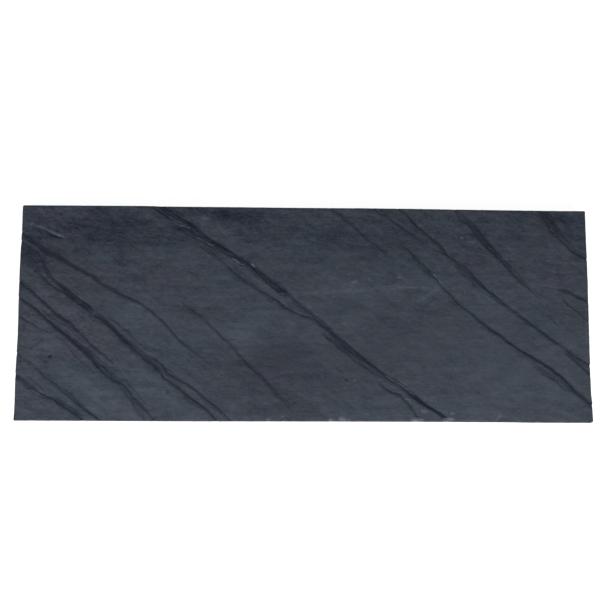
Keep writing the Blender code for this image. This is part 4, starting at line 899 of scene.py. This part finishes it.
# Relief and marks ------------------------------------------------------------------------------

class Strands:
    """Where each vertex lies in the run of its darkest line: along it and across it."""

    def __init__(self, count):
        self.strength = np.zeros(count)
        self.along = np.zeros(count)
        self.across = np.zeros(count)
        self.lines = 0

    def follow(self, numbers, strength, place, across):
        """Let the numbered vertices follow a line wherever it is their darkest so far."""
        stronger = strength > self.strength[numbers]
        chosen = numbers[stronger]
        self.strength[chosen] = strength[stronger]
        self.along[chosen] = place[stronger] + LINE_GAP * self.lines
        self.across[chosen] = across[stronger]
        self.lines += 1


def cleft_marks(points, line, ledge, deepest, raised, vein, strands):
    """Lower, raise and darken the top where a cleft crosses it."""
    length = line_length(line)
    numbers, distance, side, place = near_line(points, line, STEP_REACH + ledge.mouth)
    open_share = opening(ledge.route, ledge.fade, place, length)
    scale = open_share * waver(ledge, place)
    share = np.where(side > 0, CLIFF_SHARE, APRON_SHARE)
    mouth = np.maximum(ledge.mouth * share * scale, WELD)
    groove = ledge.depth * scale * np.clip(1.0 - distance / mouth, 0.0, 1.0)
    deepest[numbers] = np.maximum(deepest[numbers], groove)
    rise = np.clip(distance / mouth, 0.0, 1.0)
    fall = 1.0 - smooth((distance - mouth) / STEP_REACH)
    step = np.where(side > 0, ledge.step * scale * rise * fall, 0.0)
    raised[numbers] = np.maximum(raised[numbers], step)
    shade = np.where(side > 0, NORTH_SHADE, SOUTH_SHADE * waver(ledge, place))
    dark = along_route(ledge.tones, place, length) * open_share * smooth(1.0 - distance / shade)
    vein[numbers] = np.maximum(vein[numbers], dark)
    strands.follow(numbers, dark, place, side * distance)


def stroke_marks(points, lines, strokes, values, strands=None):
    """Add soft strokes to the values of the points near them."""
    for name, brush in strokes.items():
        line = lines[name]
        length = line_length(line)
        widest = max(brush.reach)
        numbers, distance, side, place = near_line(points, line, widest)
        fade = min(FADE_SHARE * length, FADE_REACHES * widest)
        amount = along_route(brush.tones, place, length)
        amount = amount * opening(brush.route, fade, place, length)
        amount *= smooth(PLATEAU * (1.0 - distance / along_route(brush.reach, place, length)))
        values[numbers] = np.maximum(values[numbers], amount)
        if strands:
            strands.follow(numbers, amount, place, side * distance)


def oval(points, x, y, along, across, turn=0.0):
    """How far inside a soft oval each point lies: 1 at its middle, fading outwards."""
    x, y, along, across = metres((x, y, along, across))
    turn = math.radians(turn)
    east = points[:, 0] - x
    north = points[:, 1] - y
    run = (east * math.cos(turn) + north * math.sin(turn)) / along
    rise = (north * math.cos(turn) - east * math.sin(turn)) / across
    return np.exp(-(run**2 + rise**2))


def spot_marks(points, spots, strength, values):
    """Add small round marks."""
    for x, y, radius in metres(spots):
        distance = np.hypot(points[:, 0] - x, points[:, 1] - y)
        values[:] = np.maximum(values, strength * smooth(SPECK_EDGE - distance / radius))


def swell(points):
    """The long low waves of the riven face."""
    height = np.zeros(len(points))
    for amount, length, heading, phase in SWELLS:
        amount, length = metres((amount, length))
        angle = math.radians(heading)
        run = points[:, 0] * math.cos(angle) + points[:, 1] * math.sin(angle)
        height += amount * np.sin(2.0 * math.pi * run / length + phase)
    return height


def broken_relief(points, lines, vein, strands):
    """How far the clefts and pits raise or lower the top, with their darkness added to vein."""
    deepest, raised = np.zeros(len(points)), np.zeros(len(points))
    for name, ledge in CLEFTS.items():
        cleft_marks(points, lines[name], ledge, deepest, raised, vein, strands)
    for x, y, radius, depth in metres(PITS):
        share = np.clip(1.0 - np.hypot(points[:, 0] - x, points[:, 1] - y) / radius, 0.0, 1.0)
        deepest = np.maximum(deepest, depth * smooth(share))
        vein[:] = np.maximum(vein, smooth(PIT_DARKNESS * share))
    return raised - deepest


def worn_depth(points, outline):
    """How far the worn arris lowers each plan point."""
    half = np.array([LENGTH / 2 - ARRIS_REACH, WIDTH / 2 - ARRIS_REACH])
    outer = np.flatnonzero(np.any(abs(points) > half, axis=1))
    closed = np.vstack([outline, outline[:1]])
    found, to_side, _, _ = near_line(points[outer], closed, ANYWHERE)
    widths = arris_widths(points[outer[found]])
    worn = np.zeros(len(points))
    worn[outer[found]] = ARRIS_DROP * widths * np.clip(1.0 - to_side / widths, 0.0, 1.0) ** 2
    return worn


def patches_and_north_shade(points, tone_and_shade, warmth):
    """Add the soft patches, and the painted shade that darkens the top toward the north."""
    for *shape, paler, warmer in PATCHES:
        amount = oval(points, *shape)
        tone_and_shade += paler * amount
        warmth += warmer * amount
    # Painted shade: darker toward the north edge, held in the same tone as the patches.
    tone_and_shade -= PAINTED_NORTH_SHADE * smooth((points[:, 1] - PAINTED_SHADE_START) / PAINTED_SHADE_LENGTH)


def grain_strength(points):
    """How strong the grain is at each plan point."""
    strength = np.full(len(points), MEAN_GRAIN)
    for *shape, stronger in COARSENESS:
        strength += stronger * oval(points, *shape)
    return strength


def dress_top(points, outline, lines):
    """The height of the riven top at each plan point, and its marks by name."""
    names = ("vein", "band", "hair", "pale", "tone_and_shade", "warmth")
    marks = {name: np.zeros(len(points)) for name in names}
    strands = Strands(len(points))
    height = TOP_LEVEL + swell(points) + broken_relief(points, lines, marks["vein"], strands)
    height -= worn_depth(points, outline)
    for number, (amount, *shape) in enumerate(RIPPLES):
        height += amount / PER_METRE * plan_noise(points, *shape, RIPPLE_SHIFT * number)
    stroke_marks(points, lines, HAIRLINES, marks["hair"])
    # Pale marks: scuffs, streaks and painted highlights on ledge rims.
    stroke_marks(points, lines, SCUFFS_AND_HIGHLIGHTS, marks["pale"])
    stroke_marks(points, lines, BANDS, marks["band"], strands)
    patches_and_north_shade(points, marks["tone_and_shade"], marks["warmth"])
    spot_marks(points, PALE_SPECKS, PALE_SPECK_STRENGTH, marks["pale"])
    spot_marks(points, RUST_SPECKS, RUST_SPECK_STRENGTH, marks["warmth"])
    marks["coarse"] = grain_strength(points)
    marks["along"] = strands.along
    marks["across"] = strands.across
    return height, marks


# Mesh ------------------------------------------------------------------------------------------

def hex_field(spacing, jitter, clear_of):
    """A triangular field of points over the slab's plan, clear of the given points."""
    tree = KDTree(len(clear_of))
    for number, (x, y) in enumerate(clear_of):
        tree.insert((x, y, 0.0), number)
    tree.balance()
    row_gap = spacing * math.sqrt(3.0) / 2.0
    rows = math.ceil(WIDTH / row_gap)
    columns = math.ceil(LENGTH / spacing)
    along, across, up = JITTER_STEPS
    field = []
    for row in range(rows + 1):
        for column in range(columns + 1):
            stir = noise.noise_vector(Vector((column * along, row * across, up))) * jitter
            x = (column - columns / 2 + 0.5 * (row % 2) + stir.x) * spacing
            y = (row - rows / 2 + stir.y) * row_gap
            if on_slab((x, y)) and tree.find((x, y, 0.0))[2] > FIELD_CLEARANCE:
                field.append((x, y))
    return field


def side_lines(name, line):
    """The polylines that the mesh follows for one mark."""
    across, places = headings_across(line)
    if name not in CLEFTS:
        reach = max({**HAIRLINES, **SCUFFS_AND_HIGHLIGHTS}[name].reach)
        return [line, line + across * reach, line - across * reach]
    ledge = CLEFTS[name]
    scale = opening(ledge.route, ledge.fade, places, places[-1]) * waver(ledge, places)
    mouth = across * (ledge.mouth * scale)[:, None]
    shade = across * (scale > BARELY_OPEN)[:, None]
    return [
        line,
        line + CLIFF_SHARE * mouth,
        line + NORTH_SHADE * shade,
        line - MIDDLE_SHARE * APRON_SHARE * mouth,
        line - APRON_SHARE * mouth,
    ]


def triangulate(points, edges, count, weld):
    """Triangles inside the loop of the first points: the corners, and the faces by number."""
    plan = [Vector(point) for point in points]
    result = delaunay_2d_cdt(plan, edges, [list(range(count))], 0, weld)
    return np.array(as_tuples(result[0])), [face for face, owner in zip(result[2], result[5]) if owner]


def top_plan(outline, lines):
    """Triangles over the plan that follow the outline, the arris and all lines but the bands."""
    inward = inward_normals(outline)
    widths = arris_widths(outline)[:, None]
    points, edges = [], []
    for loop in (outline, outline + MIDDLE_SHARE * inward * widths, outline + inward * widths):
        edges += closed_edges(len(loop), len(points))
        points += as_tuples(loop)
    for name in (*CLEFTS, *HAIRLINES, *SCUFFS_AND_HIGHLIGHTS):
        for path in side_lines(name, lines[name]):
            first = len(points)
            points += as_tuples(path)
            edges += [(first + i, first + i + 1) for i in range(len(path) - 1)]
    points += hex_field(FIELD_SPACING, FIELD_JITTER, points)
    corners, faces = triangulate(points, edges, len(outline), WELD)
    used = np.unique(np.array(faces))
    renumber = {int(old): new for new, old in enumerate(used)}
    return corners[used], [tuple(renumber[number] for number in face) for face in faces]


def ordered_rim(faces):
    """The vertex numbers round the open edge of the faces, anticlockwise."""
    runs = {(a, b) for face in faces for a, b in zip(face, face[1:] + face[:1])}
    after = {a: b for a, b in runs if (b, a) not in runs}
    rim = [min(after)]
    while after[rim[-1]] != rim[0]:
        rim.append(after[rim[-1]])
    return rim


def saw_noise(plan, height):
    """Fractal noise of the saw's traces on the sides, finer up and down than along."""
    places = np.column_stack([plan, height]) * SAW_PER_METRE
    return np.array([fractal(place, SAW_DETAIL) for place in places])


def wall_rings(rim_plan, rim_height):
    """Rings of points down the sawn sides, from just under the rim to the sole."""
    inward = inward_normals(rim_plan)
    rings = []
    for row in range(1, WALL_ROWS + 1):
        share = row / WALL_ROWS
        height = rim_height + (FOOT_ARRIS - rim_height) * share
        depth = SAW_ROUGHNESS * (1.0 + saw_noise(rim_plan, height)) * math.sin(math.pi * share)
        rings.append(np.column_stack([rim_plan + inward * depth[:, None], height]))
    for share in FOOT_STEPS:
        plan = rim_plan + inward * FOOT_ARRIS * share
        rings.append(np.column_stack([plan, np.full(len(plan), FOOT_ARRIS * (1.0 - share) ** 2)]))
    return rings


def sole_plan(ring):
    """Triangles over the flat underside, inside its ring."""
    points = as_tuples(ring)
    field = hex_field(SOLE_SPACING, SOLE_JITTER, points)
    return triangulate(points + field, closed_edges(len(ring)), len(ring), SOLE_WELD)


def closed_body(plan, height, faces, rim, rings):
    """The vertices and faces of the whole slab: its top, then its walls, then its sole."""
    vertices = [np.column_stack([plan, height])]
    first = len(plan)
    upper = rim
    for ring in rings:
        lower = list(range(first, first + len(ring)))
        for i, j in closed_edges(len(ring)):
            faces.append((upper[i], lower[i], lower[j], upper[j]))
        vertices.append(ring)
        first += len(ring)
        upper = lower
    sole, sole_faces = sole_plan(rings[-1][:, :2])
    inner = len(rings[-1])
    numbers = upper + list(range(first, first + len(sole) - inner))
    faces += [tuple(numbers[number] for number in face[::-1]) for face in sole_faces]
    vertices.append(np.column_stack([sole[inner:], np.zeros(len(sole) - inner)]))
    vertices = np.vstack(vertices)
    vertices[:, :2] -= (vertices[:, :2].min(axis=0) + vertices[:, :2].max(axis=0)) / 2.0
    return vertices, faces


def store(data, name, values):
    """Store a value for each vertex."""
    data.attributes.new(name, "FLOAT", "POINT").data.foreach_set("value", values)


def add_marks(data, marks, rim, ring_count):
    """Store the marks on the vertices; those of the rim run a little way down the sides."""
    for name, values in marks.items():
        stored = np.zeros(len(data.vertices), dtype=np.float32)
        stored[:len(values)] = values
        first = len(values)
        for ring in range(ring_count):
            fade = 1.0 if name in ("along", "across") else max(0.0, 1.0 - WALL_FADE * (ring + 1))
            stored[first:first + len(rim)] = values[rim] * fade
            first += len(rim)
        store(data, name, stored)
    sawn = np.ones(len(data.vertices), dtype=np.float32)
    sawn[:len(marks["vein"])] = 0.0
    store(data, "sawn", sawn)


def make_slab(material):
    """The dressed slab, as one closed mesh with its marks as attributes."""
    outline = make_outline()
    shapes = {**CLEFTS, **HAIRLINES, **SCUFFS_AND_HIGHLIGHTS, **BANDS}
    lines = {name: natural_line(shape.route) for name, shape in shapes.items()}
    plan, faces = top_plan(outline, lines)
    height, marks = dress_top(plan, outline, lines)
    rim = ordered_rim(faces)
    rings = wall_rings(plan[rim], height[rim])
    vertices, faces = closed_body(plan, height, faces, rim, rings)
    data = bpy.data.meshes.new("riven_slab")
    data.from_pydata(vertices.tolist(), [], faces)
    data.update()
    add_marks(data, marks, rim, len(rings))
    data.shade_smooth()
    data.set_sharp_from_angle(angle=math.radians(SHARP_ANGLE))
    data.materials.append(material)
    slab = bpy.data.objects.new("riven_slab", data)
    bpy.context.collection.objects.link(slab)
    return slab


# Material --------------------------------------------------------------------------------------

def give(tree, socket, value):
    """Set an input to a value, or link it to an output."""
    if isinstance(value, bpy.types.NodeSocket):
        tree.links.new(value, socket)
    else:
        socket.default_value = value


def add(tree, kind, inputs=None, **settings):
    """Add a node, with its settings and its inputs as values or as linked outputs."""
    made = tree.nodes.new(kind)
    for name, value in settings.items():
        setattr(made, name, value)
    for name, value in (inputs or {}).items():
        give(tree, made.inputs[name], value)
    return made


def maths(tree, operation, first, second, clamp=False):
    """A maths node's output."""
    made = add(tree, "ShaderNodeMath", {0: first, 1: second}, operation=operation, use_clamp=clamp)
    return made.outputs[0]


def product(tree, first, second):
    """Two values multiplied."""
    return maths(tree, "MULTIPLY", first, second)


def vector_maths(tree, operation, inputs):
    """A vector maths node's output."""
    return add(tree, "ShaderNodeVectorMath", inputs, operation=operation).outputs[0]


def ramp(tree, value, low, high, top=1.0):
    """Map a value's range smoothly onto 0 to top."""
    inputs = {"Value": value, "From Min": low, "From Max": high, "To Min": 0.0, "To Max": top}
    return add(tree, "ShaderNodeMapRange", inputs, interpolation_type="SMOOTHSTEP").outputs["Result"]


def blend(tree, factor, first, second):
    """Mix two colours."""
    return add(tree, "ShaderNodeMix", {0: factor, 6: first, 7: second}, data_type="RGBA").outputs[2]


def noise_texture(tree, place, detail, rough, stir=0.0):
    """Noise of about 0..1 at a place, with grains of about one unit."""
    return add(tree, "ShaderNodeTexNoise", {
        "Vector": place, "Scale": 1.0, "Detail": detail, "Roughness": rough, "Distortion": stir,
    }).outputs["Fac"]


def grain(tree, where, east, north, up, detail, rough, turn, stir):
    """Noise of about 0..1 over the stone, stretched to a size and turned in plan."""
    turn = (0.0, 0.0, math.radians(-turn))
    turned = add(tree, "ShaderNodeMapping", {"Vector": where, "Rotation": turn})
    sizes = tuple(1.0 / metres((east, north, up)))
    place = vector_maths(tree, "MULTIPLY", {0: turned.outputs["Vector"], 1: sizes})
    return noise_texture(tree, place, detail, rough, stir)


def strand_grain(tree, length, width):
    """Noise of about 0..1 in strands that run along the veins."""
    length, width = metres((length, width))
    run = add(tree, "ShaderNodeCombineXYZ", {
        "X": maths(tree, "DIVIDE", mark(tree, "along"), length),
        "Y": maths(tree, "DIVIDE", mark(tree, "across"), width),
    })
    return noise_texture(tree, run.outputs["Vector"], STRAND_DETAIL, STRAND_ROUGHNESS)


def mark(tree, name):
    """A mark stored on the vertices."""
    return add(tree, "ShaderNodeAttribute", attribute_name=name).outputs["Fac"]


def weighted(tree, start, grains, weights):
    """The start value plus each weighted noise, taken about the middle of its range."""
    for name, weight in weights.items():
        centred = maths(tree, "SUBTRACT", grains[name], NOISE_MIDDLE)
        start = maths(tree, "ADD", start, product(tree, centred, weight))
    return start


def frayed(tree, name, breaker, depth, full):
    """A stored mark with its edges broken up by a noise."""
    value = mark(tree, name)
    edge = product(tree, ramp(tree, value, 0.0, FRAY_START), depth)
    shift = product(tree, maths(tree, "SUBTRACT", breaker, NOISE_MIDDLE), edge)
    return ramp(tree, maths(tree, "ADD", value, shift), 0.0, full)


def stone_colour(tree, grains):
    """The bare stone: blue-grey between two tints, lighter and darker by its grain, its patches and a
    painted shade toward the north, with rust.
    """
    hue = weighted(tree, product(tree, mark(tree, "warmth"), WARMTH_DEPTH), grains, TINTS)
    stone = blend(tree, maths(tree, "ADD", hue, NOISE_MIDDLE, clamp=True), TEAL, PURPLE)
    tinge = blend(tree, ramp(tree, grains["chips"], *CHIP_RANGE), ROSY, GREENISH)
    stone = vector_maths(tree, "MULTIPLY", {0: stone, 1: tinge})
    # The tone holds the patches and also the painted shade toward the north.
    light = maths(tree, "ADD", product(tree, mark(tree, "tone_and_shade"), TONE_DEPTH), 1.0)
    grained = product(tree, weighted(tree, 0.0, grains, LIGHT), mark(tree, "coarse"))
    light = maths(tree, "ADD", light, grained)
    stone = vector_maths(tree, "SCALE", {0: stone, "Scale": maths(tree, "MAXIMUM", light, 1.0)})
    gloom = maths(tree, "MULTIPLY", maths(tree, "SUBTRACT", 1.0, light), GLOOM_DEPTH, clamp=True)
    stone = blend(tree, gloom, stone, DEEP)
    rust = ramp(tree, weighted(tree, mark(tree, "warmth"), grains, STAINS), *RUST_RANGE)
    return blend(tree, product(tree, rust, RUST_DEPTH), stone, RUST)


def darkness(tree, grains):
    """How dark the veins are, and how dark the veins, bands and thin lines are together."""
    vein = frayed(tree, "vein", weighted(tree, NOISE_MIDDLE, grains, TEARS), *VEIN_FRAY)
    share = maths(tree, "MAXIMUM", weighted(tree, BAND_DEPTH, grains, BAND_STRANDS), 0.0)
    band = maths(tree, "MULTIPLY", mark(tree, "band"), share, clamp=True)
    hair = frayed(tree, "hair", grains["fray"], *HAIR_FRAY)
    dark = maths(tree, "MAXIMUM", product(tree, vein, CORE_DEPTH), band)
    return vein, maths(tree, "MAXIMUM", dark, product(tree, hair, HAIR_DEPTH))


def paleness(tree, grains):
    """How pale the scuffs and the painted rim highlights are, and the small glints all over the stone.
    """
    pale_strokes = frayed(tree, "pale", weighted(tree, NOISE_MIDDLE, grains, PALE_TEARS), *PALE_FRAY)
    return maths(tree, "MAXIMUM", pale_strokes, ramp(tree, grains["glints"], *GLINT_RANGE, GLINT_DEPTH))


def sawn_colour(tree, grains, vein):
    """The sawn sides: faint layers, dark where a vein comes out."""
    cut = vector_maths(tree, "SCALE", {0: SAWN, "Scale": weighted(tree, 1.0, grains, LAYERS)})
    return blend(tree, product(tree, vein, SAWN_VEIN_DEPTH), cut, VEIN)


def slate_material():
    """Blue-grey slate: mottled and finely grained, with dark broken veins, pale scuffs and painted rim
    highlights.
    """
    material = bpy.data.materials.new("riven_slate")
    material.use_nodes = True
    tree = material.node_tree
    shader = tree.nodes["Principled BSDF"]
    where = add(tree, "ShaderNodeTexCoord").outputs["Object"]
    grains = {name: grain(tree, where, *shape) for name, shape in GRAINS.items()}
    for name, shape in STRAND_GRAINS.items():
        grains[name] = strand_grain(tree, *shape)
    vein, dark = darkness(tree, grains)
    grains["dark"] = dark
    sawn = mark(tree, "sawn")
    stone = blend(tree, dark, stone_colour(tree, grains), VEIN)
    stone = blend(tree, paleness(tree, grains), stone, PALE)
    stone = blend(tree, sawn, stone, sawn_colour(tree, grains, vein))
    rough = weighted(tree, ROUGHNESS, grains, DULLNESS)
    rough = maths(tree, "ADD", rough, product(tree, dark, DARK_ROUGHNESS))
    relief = weighted(tree, 0.0, grains, RELIEF)
    layered = product(tree, product(tree, grains["layers"], sawn), LAYER_RELIEF)
    bump = add(tree, "ShaderNodeBump", {
        "Height": maths(tree, "ADD", relief, layered), "Distance": BUMP_HEIGHT, "Strength": 1.0,
    })
    give(tree, shader.inputs["Base Color"], stone)
    give(tree, shader.inputs["Roughness"], rough)
    give(tree, shader.inputs["Specular IOR Level"], SPECULAR)
    give(tree, shader.inputs["Normal"], bump.outputs["Normal"])
    return material


# Studio ----------------------------------------------------------------------------------------

def floor_material():
    """A dull grey that glows white by itself, so that no visible shadow falls on it."""
    material = bpy.data.materials.new("floor")
    material.use_nodes = True
    inputs = material.node_tree.nodes["Principled BSDF"].inputs
    inputs["Base Color"].default_value = FLOOR_COLOUR
    inputs["Roughness"].default_value = FLOOR_ROUGHNESS
    inputs["Specular IOR Level"].default_value = 0.0
    inputs["Emission Color"].default_value = FLOOR_GLOW_COLOUR
    inputs["Emission Strength"].default_value = FLOOR_GLOW
    return material


def make_floor():
    """A plain pale floor."""
    data = bpy.data.meshes.new("floor")
    half = FLOOR_SIZE / 2
    corners = [(-half, -half, 0.0), (half, -half, 0.0), (half, half, 0.0), (-half, half, 0.0)]
    data.from_pydata(corners, [], [(0, 1, 2, 3)])
    data.materials.append(floor_material())
    floor = bpy.data.objects.new("floor", data)
    bpy.context.collection.objects.link(floor)
    return floor


def make_camera():
    """The camera, above the slab and a little southwest of its middle."""
    data = bpy.data.cameras.new("camera")
    data.lens = CAMERA_LENS
    data.sensor_width = SENSOR
    camera = bpy.data.objects.new("camera", data)
    camera.location = CAMERA_PLACE
    camera.rotation_euler = [math.radians(angle) for angle in CAMERA_TURN]
    bpy.context.collection.objects.link(camera)
    bpy.context.scene.camera = camera


def make_soft_boxes():
    """Soft boxes round the slab, the brightest to the south."""
    for name, place, size, power in SOFT_BOXES:
        data = bpy.data.lights.new(name, "AREA")
        data.shape = "RECTANGLE"
        data.size, data.size_y = size
        data.energy = power
        lamp = bpy.data.objects.new(name, data)
        lamp.location = place
        lamp.rotation_euler = Vector(place).to_track_quat("Z", "Y").to_euler()
        bpy.context.collection.objects.link(lamp)


def make_world():
    """A pale, even world, shown with plain colours."""
    world = bpy.data.worlds.new("studio")
    world.use_nodes = True
    background = world.node_tree.nodes["Background"]
    background.inputs["Color"].default_value = WORLD_COLOUR
    background.inputs["Strength"].default_value = WORLD_STRENGTH
    bpy.context.scene.world = world
    bpy.context.scene.view_settings.view_transform = "Standard"


slab = make_slab(slate_material())
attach(slab, "root")
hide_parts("slab")
make_floor()
make_camera()
make_soft_boxes()
make_world()
